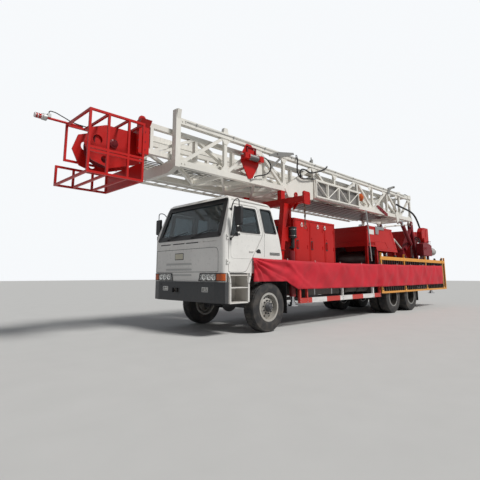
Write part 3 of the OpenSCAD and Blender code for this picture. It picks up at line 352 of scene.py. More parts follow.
# %% [markdown]
# ## Other finishes
# Cast housings are rough and oily, ram rods are ground chrome, rubber is matt with dust
# caught in it, and glass is tinted. Each gets its own graph, because what makes them
# differ is not the colour but how the roughness changes over the surface.

# %% Cast iron, chrome, rubber, plastic and glass
def cast_iron(name, colour):
    f = Finish(name)
    pits = f.grain(90.0, 4.0)
    oil = f.between(f.grain(3.0, 5.0), 0.45, 0.7)
    return f.surface({"Base Color": f.mix(oil, shade_of(colour, 1.25), shade_of(colour, 0.55)),
                      "Roughness": 0.72 - (oil * 0.3), "Metallic": 0.3}, pits, 0.002)


def bright_steel(name, colour, roughness):
    f = Finish(name)
    rings = f.grain(60.0, 2.0, (1.0, 1.0, 6.0))
    film = f.between(f.grain(5.0, 4.0), 0.4, 0.75)
    return f.surface({"Base Color": f.mix(film * 0.5, shade_of(colour, 1.0), shade_of(colour, 0.6)),
                      "Roughness": roughness + (film * 0.18), "Metallic": 1.0}, rings, 0.0002)


def rubber(name, colour, dust):
    f = Finish(name)
    dusty = f.between(f.grain(7.0, 6.0), 0.42, 0.75) * dust
    return f.surface({"Base Color": f.mix(dusty, shade_of(colour, 1.0), (0.15, 0.13, 0.11, 1.0)),
                      "Roughness": 0.62 + (dusty * 0.3)}, f.grain(220.0, 2.0), 0.0008)


def moulded_plastic(name, colour):
    f = Finish(name)
    worn = f.between(f.grain(12.0, 4.0), 0.4, 0.8)
    return f.surface({"Base Color": f.mix(worn, shade_of(colour, 0.8), shade_of(colour, 1.5)),
                      "Roughness": 0.42 + (worn * 0.2)}, f.grain(320.0, 2.0), 0.0005)


def tinted_glass(name, colour, clearness):
    f = Finish(name)
    smear = f.between(f.grain(4.0, 5.0), 0.5, 0.8)
    return f.surface({"Base Color": colour, "Roughness": 0.02 + (smear * 0.06),
                      "Transmission Weight": clearness, "IOR": 1.45})


iron = cast_iron("axle_grey", (0.09, 0.09, 0.095))
rusty = cast_iron("chain_iron", (0.16, 0.1, 0.07))
chrome = bright_steel("ram_steel", (0.62, 0.63, 0.65), 0.14)
zinc = bright_steel("zinc_steel", (0.5, 0.5, 0.49), 0.34)
tyre_rubber = rubber("tyre_rubber", (0.02, 0.02, 0.021), 0.45)
hose_rubber = rubber("hose_rubber", (0.012, 0.012, 0.013), 0.12)
trim_plastic = moulded_plastic("trim_black", (0.018, 0.018, 0.02))
cab_glass = tinted_glass("pane", (0.2, 0.245, 0.265, 1.0), 0.9)
lamp_glass = tinted_glass("lamp_clear", (0.9, 0.9, 0.88, 1.0), 0.85)
amber_glass = tinted_glass("lamp_amber", (0.72, 0.13, 0.015, 1.0), 0.3)
red_glass = tinted_glass("lamp_red", (0.55, 0.01, 0.01, 1.0), 0.3)


# %% [markdown]
# Some pieces carry two colours: the side guard's white bands and the dark bars of the
# platforms. Others carry painted shade: the boards under the mast are painted brown for shade,
# with a painted red reflection, the racking board's net is painted grey, and the rear rims dark in their dishes.
# A stretch is a test on a coordinate, so the edge is crisp and nothing is cut.

# %% Two-colour paints and painted shade
def stretch_of(wire, low, high):
    return wire.above(low) * (1.0 - wire.above(high))


def bands_along(f, bands):
    x = f.axis("X")
    masks = [stretch_of(x, low + front_axle_x, high + front_axle_x) for low, high in bands]
    return sum(masks[1:], masks[0])


def guard_mask(f):
    return bands_along(f, [(-2.27, -1.61), (-3.575, -2.925), (-4.91, -4.195)])


# Painted shade: the boards under the mast are painted dark brown for the shade under the belly, with a painted red
# reflection of the red boxes below.
def belly_shade_mask(f):
    return stretch_of(f.axis("Z"), 3.3, 3.398) * bands_along(f, [(-7.7, -2.55)])


platform_posts = (-5.4, -7.18, -9.17, -11.0)


def bar_mask(f):
    posts = [(x - 0.036, x + 0.036) for x in (*platform_posts, -11.27)]
    return stretch_of(f.axis("Z"), 0.722, 1.718) * (1.0 - bands_along(f, posts))


# Painted shade: the closed panel behind the racking board's members is painted grey, for the shade that would be seen
# through an open net.
def net_shade_mask(f):
    net = stretch_of(f.axis("Y"), 0.7165, 0.7275) * stretch_of(f.axis("Z"), 3.475, 3.915)
    return net * bands_along(f, [(-5.12, -2.58)])


def tank_mask(f):
    return bands_along(f, [(-10.9, -10.262)])


# Painted shade: the deep dish of each rear rim, inside the radius, is painted near black for the shade that falls in
# it.
def dish_shade_mask(axle_x, radius):
    def mask(f):
        dx = f.axis("X") - (axle_x + front_axle_x)
        dz = f.axis("Z") - 0.535
        return 1.0 - (dx * dx + dz * dz).above(radius ** 2)
    return mask


guard_paint = paint("guard_bands", (0.55, 0.016, 0.013), coat=0.05, dust=0.5, gloss=0.3,
                    second=(0.76, 0.75, 0.72), mask_of=guard_mask)
# The boards under the mast take painted shade and a painted red reflection.
belly_shade_paint = paint("belly_boards", **cream, second=(0.1, 0.03, 0.024), mask_of=belly_shade_mask)
bar_paint = paint("platform_bars", **yellow, second=(0.028, 0.022, 0.018), mask_of=bar_mask)
# The racking board's net takes painted shade.
net_shade_paint = paint("mast_side_cream", **cream, second=(0.2, 0.19, 0.18), mask_of=net_shade_mask)
box_paint = paint("driller_box_maroon", **maroon, second=(0.4, 0.39, 0.37), mask_of=tank_mask)
# Painted shade: the rear rims are painted darker than the front rims, and their dishes near black.
rear_rim_painted_shade = [paint(f"rear_rim_{k}", (0.34, 0.34, 0.32), roughness=0.36, coat=0.2, dust=0.15,
                  second=(0.022, 0.021, 0.02), mask_of=dish_shade_mask(x, 0.292))
            for k, x in enumerate((middle_x, rear_x))]

# %% [markdown]
# Each CAD node now takes its finish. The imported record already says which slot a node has.

# %% Finishes on the CAD nodes
slot_finish = {plain_name[finish]: finish for finish in (
    cab_paint, mast_paint, red_paint, maroon_paint, black_paint, grey_paint, iron, yellow_paint,
    rim_paint, chrome, tyre_rubber, trim_plastic, cab_glass, lamp_glass, beacon_paint)}
slot_finish["cloth_red"] = red_paint
# Finishes made for this scene go in the slot of what they look like
usual_slot = {"zinc_steel": "ram_steel", "chain_iron": "ram_steel", "hose_rubber": "trim_black",
              "lamp_amber": "lamp_clear", "lamp_red": "lamp_clear"}
for part in frame["record"]["subparts"]:
    materials = frame["nodes"][part["node"]].data.materials
    materials.clear()
    materials.append(slot_finish[part["material_slot"]])
node_finish = {"side_guards": guard_paint, "mast_back": belly_shade_paint, "platforms": bar_paint,
               "mast_sides": net_shade_paint, "control_box": box_paint}
for side, sign in sides:
    node_finish[f"rim_middle_{side}"] = rear_rim_painted_shade[0]
    node_finish[f"rim_rear_{side}"] = rear_rim_painted_shade[1]
for node, finish in node_finish.items():
    frame["nodes"][node].data.materials[0] = finish

# %% [markdown]
# ## Modelling helpers
# A few small makers cover most hardware: a block, a plate cut from an outline, a round bar, a
# turned part and a hose. Each adds to a bmesh. A with block opens the bmesh, and when it
# ends, finish_piece turns the bmesh into an object that rides on a body. Coordinates are
# measured from the front axle, and finish_piece moves them into the rig's own frame.

# %% Makers
def block(mesh, low, high):
    low = Vector(low)
    high = Vector(high)
    matrix = Matrix.Translation((low + high) / 2) @ Matrix.Diagonal((*(high - low), 1.0))
    return bmesh.ops.create_cube(mesh, size=1.0, matrix=matrix)["verts"]


def bar(mesh, start, end, radius, count=12):
    start = Vector(start)
    along = Vector(end) - start
    turn = along.to_track_quat("Z", "Y").to_matrix().to_4x4()
    bmesh.ops.create_cone(mesh, cap_ends=True, segments=count, radius1=radius, radius2=radius,
                          depth=along.length, matrix=Matrix.Translation(start + along / 2) @ turn)


plane_of = {"x": lambda u, v, w: (w, u, v), "y": lambda u, v, w: (u, w, v), "z": lambda u, v, w: (u, v, w)}


def stud(mesh, axis, u, v, low, high, radius, count=6):
    """A bolt or a short bar along x, y or z, at u, v across it."""
    bar(mesh, plane_of[axis](u, v, low), plane_of[axis](u, v, high), radius, count)


def unit(axis):
    """A direction from its letter or from a vector."""
    return Vector(plane_of[axis](0.0, 0.0, 1.0) if isinstance(axis, str) else axis).normalized()


def plate(mesh, outline, axis, low, high):
    """A flat plate: an outline across an axis, from low to high along it."""
    verts = [mesh.verts.new(plane_of[axis](u, v, low)) for u, v in outline]
    face = mesh.faces.new(verts)
    out = bmesh.ops.extrude_face_region(mesh, geom=[face])["geom"]
    moved = [g for g in out if isinstance(g, bmesh.types.BMVert)]
    bmesh.ops.translate(mesh, vec=unit(axis) * (high - low), verts=moved)
    return verts + moved


def turned(mesh, profile, centre, axis, steps=32):
    """A lathe part: profile of (radius, distance along the axis) spun round the axis."""
    centre = Vector(centre)
    axis = unit(axis)
    side = axis.orthogonal().normalized()
    verts = [mesh.verts.new(centre + side * r + axis * t) for r, t in profile]
    edges = [mesh.edges.new(pair) for pair in zip(verts, verts[1:])]
    bmesh.ops.spin(mesh, geom=verts + edges, cent=centre, axis=axis,
                   angle=2 * math.pi, steps=steps, use_merge=True)
    bmesh.ops.remove_doubles(mesh, verts=mesh.verts, dist=0.00005)


def ring(mesh, centre, axis, radius, thickness, steps=28, count=8):
    profile = [(radius + thickness * math.cos(2 * math.pi * k / count),
                thickness * math.sin(2 * math.pi * k / count)) for k in range(count + 1)]
    turned(mesh, profile, centre, axis, steps)


def around(centre, axis, radius, count, phase=0.0):
    """Points spaced evenly on a circle, such as bolts or wheel nuts."""
    axis = unit(axis)
    side = axis.orthogonal().normalized() * radius
    return [Vector(centre) + Matrix.Rotation(phase + 2 * math.pi * k / count, 3, axis) @ side
            for k in range(count)]


def bolts(mesh, points, axis, low, high, radius, count=6):
    """A bolt at each point, along a direction."""
    way = unit(axis)
    for at in points:
        bar(mesh, at + way * low, at + way * high, radius, count)


def mirrored(mesh):
    """Adds the other side of what the bmesh holds."""
    geom = mesh.verts[:] + mesh.edges[:] + mesh.faces[:]
    bmesh.ops.mirror(mesh, geom=geom, axis="Y", merge_dist=-1.0)


def placed(name, data, finish, body, slot):
    """Makes an object of a mesh; it takes its finish and its slot, and rides on a body."""
    data.materials.clear()
    data.materials.append(finish)
    data.polygons.foreach_set("use_smooth", [True] * len(data.polygons))
    made = bpy.data.objects.new(name, data)
    bpy.context.scene.collection.objects.link(made)
    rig.ride(made, body)
    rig.slot(made, slot or usual_slot.get(plain_name[finish], plain_name[finish]))
    return made


def finish_piece(name, mesh, finish, body="chassis", slot=None, edge=0.0, smooth=35.0, replaces=()):
    bmesh.ops.translate(mesh, vec=(front_axle_x, 0.0, 0.0), verts=mesh.verts)
    bmesh.ops.recalc_face_normals(mesh, faces=mesh.faces)
    data = bpy.data.meshes.new(name)
    mesh.to_mesh(data)
    mesh.free()
    made = placed(name, data, finish, body, slot)
    data.set_sharp_from_angle(angle=math.radians(smooth))
    if edge:
        worn = made.modifiers.new("worn edge", "BEVEL")
        worn.width = edge
        worn.segments = 2
        worn.limit_method = "ANGLE"
        worn.angle_limit = math.radians(40)
        worn.harden_normals = True
    if replaces:
        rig.replaces(made, *replaces)
    return made


@contextmanager
def piece(name, finish, body="chassis", mirror=False, **options):
    """with piece(name, finish) as mesh: what the block adds to the mesh becomes one object."""
    mesh = bmesh.new()
    yield mesh
    if mirror:
        mirrored(mesh)
    finish_piece(name, mesh, finish, body, **options)


def tube_piece(name, points, radius, finish, body="chassis", slot=None):
    """A round tube along points: a curve with a round section, made a mesh."""
    curve = bpy.data.curves.new(name, "CURVE")
    curve.dimensions = "3D"
    curve.bevel_depth = radius
    curve.bevel_resolution = 3
    curve.resolution_u = 8
    curve.use_fill_caps = True
    spline = curve.splines.new("BEZIER")
    spline.bezier_points.add(len(points) - 1)
    for knot, point in zip(spline.bezier_points, points):
        knot.co = Vector(point) + Vector((front_axle_x, 0.0, 0.0))
        knot.handle_left_type = "AUTO"
        knot.handle_right_type = "AUTO"
    holder = bpy.data.objects.new(name + "_path", curve)
    bpy.context.scene.collection.objects.link(holder)
    bpy.context.view_layer.update()
    data = bpy.data.meshes.new_from_object(holder)
    bpy.data.objects.remove(holder)
    data.name = name
    return placed(name, data, finish, body, slot)


# %% [markdown]
# ## Tyres
# A truck tyre is a turned carcass with a blocky tread. The carcass is one profile spun
# round the axle. Then every tread face is inset and pushed outwards, which leaves the
# grooves between the blocks. That is cheaper than cutting, and the shoulder stays round.

# %% Tyres with treads
tyre_r = 0.535
tread_depth = 0.012
tread_from = 0.505
tread_steps = 46
# Radius and half width of the carcass, from the bead to the middle of the tread
carcass = [(0.292, 0.118), (0.3, 0.13), (0.318, 0.134), (0.322, 0.139), (0.345, 0.142),
           (0.375, 0.1475), (0.41, 0.1495), (0.416, 0.1485), (0.45, 0.1455), (0.48, 0.1395),
           (0.5, 0.134), (0.514, 0.126), (0.5205, 0.112),
           (tyre_r - tread_depth, 0.068), (tyre_r - tread_depth, 0.024)]


def tyre(mesh, centre):
    before = set(mesh.faces)
    turned(mesh, carcass + [(r, -w) for r, w in reversed(carcass)], centre, "y", tread_steps)
    made = [face for face in mesh.faces if face not in before]
    tread = []
    for face in made:
        arm = face.calc_center_median() - Vector(centre)
        if math.hypot(arm.x, arm.z) > tread_from:
            tread.append(face)
    bmesh.ops.recalc_face_normals(mesh, faces=made)
    bmesh.ops.inset_individual(mesh, faces=tread, thickness=0.0095, depth=tread_depth * 0.95)


wheel_table = [("front", 0.0, (1.09,)), ("middle", middle_x, (1.09, 0.755)),
               ("rear", rear_x, (1.09, 0.755))]
for axle, x, tracks in wheel_table:
    for side, sign in sides:
        with piece(f"treaded_tyre_{axle}_{side}", tyre_rubber, f"wheel_{axle}_{side}",
                   smooth=50.0, replaces=(f"tyre_{axle}_{side}",)) as mesh:
            for y in tracks:
                tyre(mesh, (x, y * sign, tyre_r))
print("tyres made")

# %% [markdown]
# ## Wheel hardware
# The front wheels are outset discs: a black hub stands proud, with ten nuts round it. The
# rear discs are dished, so their hub sits deep in the wheel. Nuts are repeated small parts,
# so each is a six-sided bar with a smaller stud, a few dozen faces in all.

# %% Nuts and hubs
for axle, x, tracks in wheel_table:
    face_y, nose = (1.175, 0.115) if axle == "front" else (1.03, 0.075)
    hub = [(0.0, nose), (0.045, nose), (0.058, nose - 0.012), (0.068, nose - 0.03),
           (0.082, nose - 0.035), (0.088, nose - 0.05), (0.105, nose - 0.062), (0.11, -0.02)]
    for side, sign in sides:
        at = (x, face_y * sign, tyre_r)
        out = (0.0, sign, 0.0)
        with piece(f"hub_{axle}_{side}", iron, f"wheel_{axle}_{side}") as mesh:
            turned(mesh, hub, at, out, 28)
            nuts = around(at, "y", 0.1425, 10)
            bolts(mesh, nuts, out, -0.01, 0.026, 0.0175)
            bolts(mesh, nuts, out, 0.02, 0.044, 0.0105, 8)
            bolts(mesh, around(at, "y", 0.075, 8, 0.2), out, nose - 0.04, nose - 0.024, 0.008)

# %% [markdown]
# ## Cab surfaces
# The cab's CAD shell is right in form. What makes it read as a cab is the black rubber round
# every pane, the lid's shut line, lamps, wipers and mirrors. The side leans in above the
# belt, and the screen leans back, so two short functions give the surface at any height.

# %% Surface helpers
cab_front = 1.37
bumper_x = 1.4
side_y = 1.25


def screen_x(z):
    return cab_front - 0.3295 * max(0.0, z - 1.99)


def side_at(z):
    return side_y - 0.2055 * max(0.0, z - 2.1)


def softened(outline, radii, steps=5):
    """Rounds the corners of an outline, each by its own distance from the corner."""
    made = []
    for i, corner in enumerate(outline):
        radius = radii[i] if isinstance(radii, list) else radii
        corner = Vector(corner)
        if radius <= 0:
            made.append(tuple(corner))
            continue
        a = corner + (Vector(outline[i - 1]) - corner).normalized() * radius
        b = corner + (Vector(outline[(i + 1) % len(outline)]) - corner).normalized() * radius
        for k in range(steps + 1):
            t = k / steps
            made.append(tuple(a * (1 - t) ** 2 + corner * 2 * t * (1 - t) + b * t * t))
    return made


def rounded(u_low, v_low, u_high, v_high, radius):
    """A rectangle with rounded corners."""
    return softened([(u_low, v_low), (u_low, v_high), (u_high, v_high), (u_high, v_low)], radius)


def grown(outline, by):
    us = [u for u, v in outline]
    vs = [v for u, v in outline]
    cu = (min(us) + max(us)) / 2
    cv = (min(vs) + max(vs)) / 2
    ku = 1 + 2 * by / (max(us) - min(us))
    kv = 1 + 2 * by / (max(vs) - min(vs))
    return [(cu + (u - cu) * ku, cv + (v - cv) * kv) for u, v in outline]


def frame_round(mesh, outline, axis, width, low, high, lean=lambda z: 0.0):
    """A flat frame of even width inside an outline, laid on a leaning surface."""
    at = plane_of[axis]
    face = mesh.faces.new([mesh.verts.new(at(u, v, low)) for u, v in outline])
    face.normal_update()
    made = bmesh.ops.inset_individual(mesh, faces=[face], thickness=width, use_even_offset=True)
    rim = made["faces"]
    bmesh.ops.delete(mesh, geom=[face], context="FACES_ONLY")
    verts = {v for f in rim for v in f.verts}
    out = bmesh.ops.extrude_face_region(mesh, geom=rim)["geom"]
    raised = [g for g in out if isinstance(g, bmesh.types.BMVert)]
    bmesh.ops.translate(mesh, vec=Vector(at(0.0, 0.0, high - low)), verts=raised)
    for v in list(verts) + raised:
        v.co["xyz".index(axis)] += lean(v.co.z)


# %% [markdown]
# Panes: the screen has a wide black border, the doors and quarter lights a narrow one. Each
# frame is one face, inset to an even width, emptied, and pushed out a few millimetres.

# %% Rubber round the panes
with piece("screen_border", trim_plastic, edge=0.002) as mesh:
    screen_outline = softened([(-1.145, 2.004), (-1.075, 2.862), (1.075, 2.862), (1.145, 2.004)], 0.07)
    frame_round(mesh, screen_outline, "x", 0.115, 0.001, 0.007, screen_x)
with piece("rear_pane_rubber", trim_plastic) as mesh:
    frame_round(mesh, rounded(-0.77, 2.13, 0.77, 2.67, 0.08), "x", 0.035, -0.006, 0.0,
                lambda z: -0.45 + (z - 1.67) * 0.12 / 0.49 if z < 2.16 else -0.33 + (z - 2.16) * 0.1825)

door_panes = [softened([(0.905, 2.13), (0.88, 2.68), (0.325, 2.68), (0.29, 2.13)],
                       [0.03, 0.03, 0.05, 0.05]),
              softened([(1.195, 2.04), (0.985, 2.68), (0.955, 2.68), (0.98, 2.04)],
                       [0.03, 0.008, 0.008, 0.02])]
side_pane = softened([(0.126, 2.165), (0.17, 2.71), (-0.19, 2.71), (-0.275, 2.165)],
                     [0.04, 0.04, 0.05, 0.05])
for side, sign in sides:
    with piece(f"door_rubber_{side}", trim_plastic, f"door_{side}") as mesh:
        for outline in door_panes:
            frame_round(mesh, grown(outline, 0.012), "y", 0.024, 0.001 * sign, 0.005 * sign,
                        lambda z: side_at(z) * sign)
        # The bar between the door window and the quarter light
        for v in block(mesh, (0.918, 0.0, 2.05), (0.962, 0.004 * sign, 2.69)):
            v.co.y += side_at(v.co.z) * sign
    with piece(f"side_rubber_{side}", trim_plastic) as mesh:
        frame_round(mesh, grown(side_pane, 0.012), "y", 0.026, 0.001 * sign, 0.006 * sign,
                    lambda z: side_at(z) * sign)

# %% [markdown]
# The nose: shut line of the lid, dark air slots under the screen, a blank plate, and a lip
# over the screen that shades it.

# %% Nose of the cab
lid = softened([(-1.16, 1.29), (-1.16, 1.8), (1.08, 1.8), (1.08, 1.29)], [0.02, 0.03, 0.13, 0.02])
slot_heights = (1.205, 1.325, 1.445)
with piece("nose_lines", trim_plastic) as mesh:
    frame_round(mesh, lid, "x", 0.009, cab_front - 0.0005, cab_front + 0.0012)
    for y in (-1.016, -0.516, -0.016):
        block(mesh, (cab_front - 0.03, y, 1.917), (cab_front - 0.012, y + 0.412, 1.938))
with piece("nose_badge_back", trim_plastic) as mesh:
    plate(mesh, rounded(-0.41, 1.565, -0.09, 1.715, 0.012), "x", cab_front, cab_front + 0.003)
badge_cream = paint("badge_cream", (0.62, 0.59, 0.46), dust=0.2)
with piece("nose_badge_blank", badge_cream, slot="cab_white", edge=0.001) as mesh:
    plate(mesh, rounded(-0.395, 1.58, -0.105, 1.7, 0.01), "x", cab_front + 0.002, cab_front + 0.006)
slot_shade = paint("slot_shade", (0.5, 0.5, 0.49), dust=0.6)
with piece("nose_slots", slot_shade, slot="cab_white") as mesh:
    for z in slot_heights:
        plate(mesh, rounded(-0.76, z, 0.21, z + 0.042, 0.02), "x", cab_front - 0.002, cab_front + 0.0008)
with piece("nose_plate", cab_paint, edge=0.003) as mesh:
    # The lower lip of each pressed slot catches the light
    for z in slot_heights:
        bar(mesh, (cab_front, -0.745, z), (cab_front, 0.195, z), 0.006, 8)
    for y in (0.78, -0.78):
        block(mesh, (cab_front - 0.01, y - 0.03, 1.805), (cab_front + 0.014, y + 0.03, 1.823))
with piece("visor_lip", cab_paint, edge=0.002) as mesh:
    plate(mesh, [(1.035, 2.912), (1.105, 2.868), (1.15, 2.842), (1.154, 2.848), (1.11, 2.88),
                 (1.04, 2.926)], "y", -0.99, 0.99)
# Roof: three pressed ribs and the drip rails over the doors
with piece("roof_ribs", cab_paint, edge=0.004) as mesh:
    for y in (-0.55, 0.0, 0.55):
        for v in plate(mesh, rounded(-0.02, y - 0.11, 0.9, y + 0.11, 0.05), "z", 2.0, 2.012):
            v.co.z += 0.872 + (v.co.x + 0.15) * 0.08 / 1.18
    for y in (1.112, -1.112):
        bar(mesh, (1.03, y, 2.842), (-0.17, y, 2.812), 0.011, 8)

# %% [markdown]
# Wipers park low on the screen. Each is an arm, a bridge and a thin blade that lies on the
# glass, so the parts are placed with the screen's own slope.

# %% Wipers
def on_screen(y, z, off):
    return Vector((screen_x(z) + off, y, z))


with piece("wipers", trim_plastic) as mesh:
    # Pivot and middle of the blade, each (y, z)
    for pivot, (y, z) in (((-0.72, 2.045), (-0.313, 2.13275)), ((0.18, 2.045), (0.576, 2.141))):
        bar(mesh, on_screen(*pivot, -0.01), on_screen(*pivot, 0.035), 0.022)
        bar(mesh, on_screen(*pivot, 0.028), on_screen(y, z, 0.03), 0.0075, 8)
        bar(mesh, on_screen(y - 0.31, z - 0.045, 0.016), on_screen(y + 0.31, z + 0.045, 0.016), 0.0065, 6)
        for way in (-1.0, 1.0):
            bar(mesh, on_screen(y + 0.21 * way, z + 0.03 * way, 0.02), on_screen(y, z, 0.034), 0.005, 6)

# %% [markdown]
# ## Headlamps
# A lamp unit is a dark bezel, bright bowls, a clear cover and an amber corner. The CAD has
# the clear cover as a solid strip that wraps round the corner. Bowls are turned dishes set
# just in front of the apron. The cover itself is replaced by thinner, layered parts.

# %% Lamp units
corner_from = 1.145
corner_r = 0.105


def wrap_point(along, z, off):
    """A point on the nose that turns round its corner: along is measured from the middle."""
    past = along - corner_from
    angle = min(max(past / corner_r, 0.0), math.pi / 2)
    back = max(past - corner_r * math.pi / 2, 0.0)
    return Vector((cab_front - corner_r - back + (corner_r + off) * math.cos(angle),
                   corner_from + min(past, 0.0) + (corner_r + off) * math.sin(angle), z))


def wrapped_strip(mesh, low_edge, high_edge, off_low, off_high, pieces=14):
    """A strip that follows the nose between two level edges, each (from, to, z)."""
    rings = []
    loops = []
    for k in range(pieces + 1):
        corners = []
        for off, (start, end, z) in ((off_low, low_edge), (off_high, low_edge), (off_high, high_edge),
                                     (off_low, high_edge)):
            corners.append(mesh.verts.new(wrap_point(start + (end - start) * k / pieces, z, off)))
        rings.append(corners)
        loops.append([mesh.edges.new((corners[i], corners[(i + 1) % 4])) for i in range(4)])
    for first, second in zip(loops, loops[1:]):
        bmesh.ops.bridge_loops(mesh, edges=first + second)
    mesh.faces.new(rings[0])
    mesh.faces.new(rings[-1][::-1])


bezel_strips = [((0.47, 1.265, 1.108), (0.515, 1.265, 1.265), 0.004, 14),
                ((0.512, 1.265, 1.25), (0.515, 1.265, 1.268), 0.014, 14),
                ((0.464, 1.265, 1.104), (0.47, 1.265, 1.12), 0.014, 14),
                ((1.02, 1.044, 1.108), (1.02, 1.044, 1.265), 0.014, 2),
                ((0.464, 0.492, 1.104), (0.51, 0.538, 1.268), 0.014, 2)]
with piece("lamp_bezels", trim_plastic, mirror=True) as mesh:
    for low, high, off, pieces in bezel_strips:
        wrapped_strip(mesh, low, high, 0.0005, off, pieces)
lamp_bowl = bright_steel("lamp_bowl", (0.8, 0.8, 0.8), 0.1)
dish = [(0.0, -0.004), (0.022, -0.003), (0.045, 0.001), (0.058, 0.0045), (0.062, 0.0055), (0.062, 0.001)]
with piece("lamp_bowls", lamp_bowl, mirror=True, slot="ram_steel") as mesh:
    for y in (0.64, 0.8, 0.945):
        turned(mesh, dish, (cab_front + 0.0045, y, 1.186), "x", 24)
        turned(mesh, [(0.0, 0.007), (0.008, 0.006), (0.012, 0.001)], (cab_front + 0.002, y, 1.186), "x", 12)
with piece("lamp_covers", lamp_glass, mirror=True, replaces=("lamps",)) as mesh:
    wrapped_strip(mesh, (0.484, 1.027, 1.117), (0.526, 1.027, 1.256), 0.0105, 0.0135)
    block(mesh, (1.396, 0.625, 0.895), (1.402, 0.795, 0.965))
with piece("lamp_corners", amber_glass, mirror=True) as mesh:
    wrapped_strip(mesh, (1.041, 1.262, 1.117), (1.041, 1.262, 1.256), 0.002, 0.0125)
with piece("tail_lamp_lenses", red_glass, mirror=True, edge=0.006) as mesh:
    for y, width in ((0.865, 0.09), (0.96, 0.09), (1.055, 0.08)):
        block(mesh, (-10.986, y, 1.115), (-10.966, y + width, 1.205))
with piece("tail_lamp_boxes", trim_plastic, mirror=True, edge=0.004) as mesh:
    block(mesh, (-10.97, 0.85, 1.1), (-10.95, 1.15, 1.22))
with piece("fog_lamps", zinc, mirror=True) as mesh:
    frame_round(mesh, rounded(0.608, 0.88, 0.812, 0.98, 0.015), "x", 0.016,
                bumper_x - 0.001, bumper_x + 0.006)
    for y in (0.665, 0.745):
        turned(mesh, [(0.0, 0.004), (0.03, 0.001), (0.034, 0.008)], (1.378, y, 0.93), "x", 16)

# %% [markdown]
# ## Bumper and steps
# The bumper is a pressed steel beam: a shallow ridge along the top, a recess with a tow pin,
# bolts, and lamp guards. White trims edge the step recess, and each tread has a dimple grid.

# %% Bumper and steps
with piece("bumper_details", grey_paint, edge=0.002) as mesh:
    plate(mesh, rounded(-0.3, 1.035, 0.62, 1.055, 0.008), "x", bumper_x, bumper_x + 0.006)
    frame_round(mesh, rounded(-0.47, 0.83, -0.18, 0.97, 0.02), "x", 0.02,
                bumper_x - 0.001, bumper_x + 0.006)
    bar(mesh, (1.37, -0.325, 0.8), (1.37, -0.325, 0.985), 0.016)
    for y in (-0.9, 0.9):
        for z in (0.75, 1.02):
            stud(mesh, "x", y, z, bumper_x - 0.004, bumper_x + 0.009, 0.014)


def trim_line(mesh, points, width, y_low, y_high):
    """A flat trim along a bent line in the side view."""
    for first, second in zip(points, points[1:]):
        a = Vector(first)
        b = Vector(second)
        way = (b - a).normalized()
        n = Vector((-way.y, way.x)) * width / 2
        e = way * width * 0.25
        plate(mesh, [a - e + n, b + e + n, b + e - n, a - e - n], "y", y_low, y_high)


with piece("step_trims", cab_paint, mirror=True, edge=0.003) as mesh:
    trim_line(mesh, [(1.245, 1.262), (1.205, 1.17), (1.19, 1.06), (1.19, 0.665)], 0.032, 1.232, 1.262)
    trim_line(mesh, [(0.612, 1.262), (0.625, 1.2), (0.665, 1.06), (0.672, 0.69)], 0.045, 1.22, 1.262)
    trim_line(mesh, [(0.69, 0.668), (1.19, 0.668)], 0.02, 1.235, 1.258)
    trim_line(mesh, [(0.69, 0.972), (1.19, 0.972)], 0.012, 1.242, 1.258)
with piece("step_treads", zinc, mirror=True, slot="bumper_grey") as mesh:
    for z in (0.69, 0.985):
        for k in range(9):
            for j in range(4):
                stud(mesh, "z", 0.74 + 0.053 * k, 0.95 + 0.075 * j, z, z + 0.006, 0.012, 8)
step_paint = paint("step_grey", (0.64, 0.62, 0.58), roughness=0.5, coat=0.0, dust=0.5)
frame["nodes"]["step_wells"].data.materials[0] = step_paint

# %% [markdown]
# ## Doors
# A raised line presses stiffness into the door skin. It is half of a thin rod, sunk in the
# skin. The pull handle is a dark dish with a grip across it. The pressing, the grip and the
# mirror ride on the door; the dark latch plate rides on the chassis.

# %% Door pressings, handles and mirrors
mirror_y = 1.45
mirror_z = 2.425
mirror_arm = [(1.085, 1.15, 2.6), (1.12, 1.26, 2.735), (1.15, 1.37, 2.775), (1.155, 1.445, 2.76),
              (1.155, 1.462, 2.66), (1.155, 1.462, 2.4), (1.155, 1.46, 2.16), (1.165, 1.4, 2.08),
              (1.185, 1.262, 1.96)]


def rib_line(mesh, points, radius, sign):
    for (xa, za), (xb, zb) in zip(points, points[1:]):
        bar(mesh, (xa, side_at(za) * sign, za), (xb, side_at(zb) * sign, zb), radius, 8)


def beside(mesh, outline, low, high, sign):
    """A plate across x in line with the mirror head."""
    verts = plate(mesh, outline, "x", low, high)
    for v in verts:
        v.co.y += mirror_y * sign
    return verts


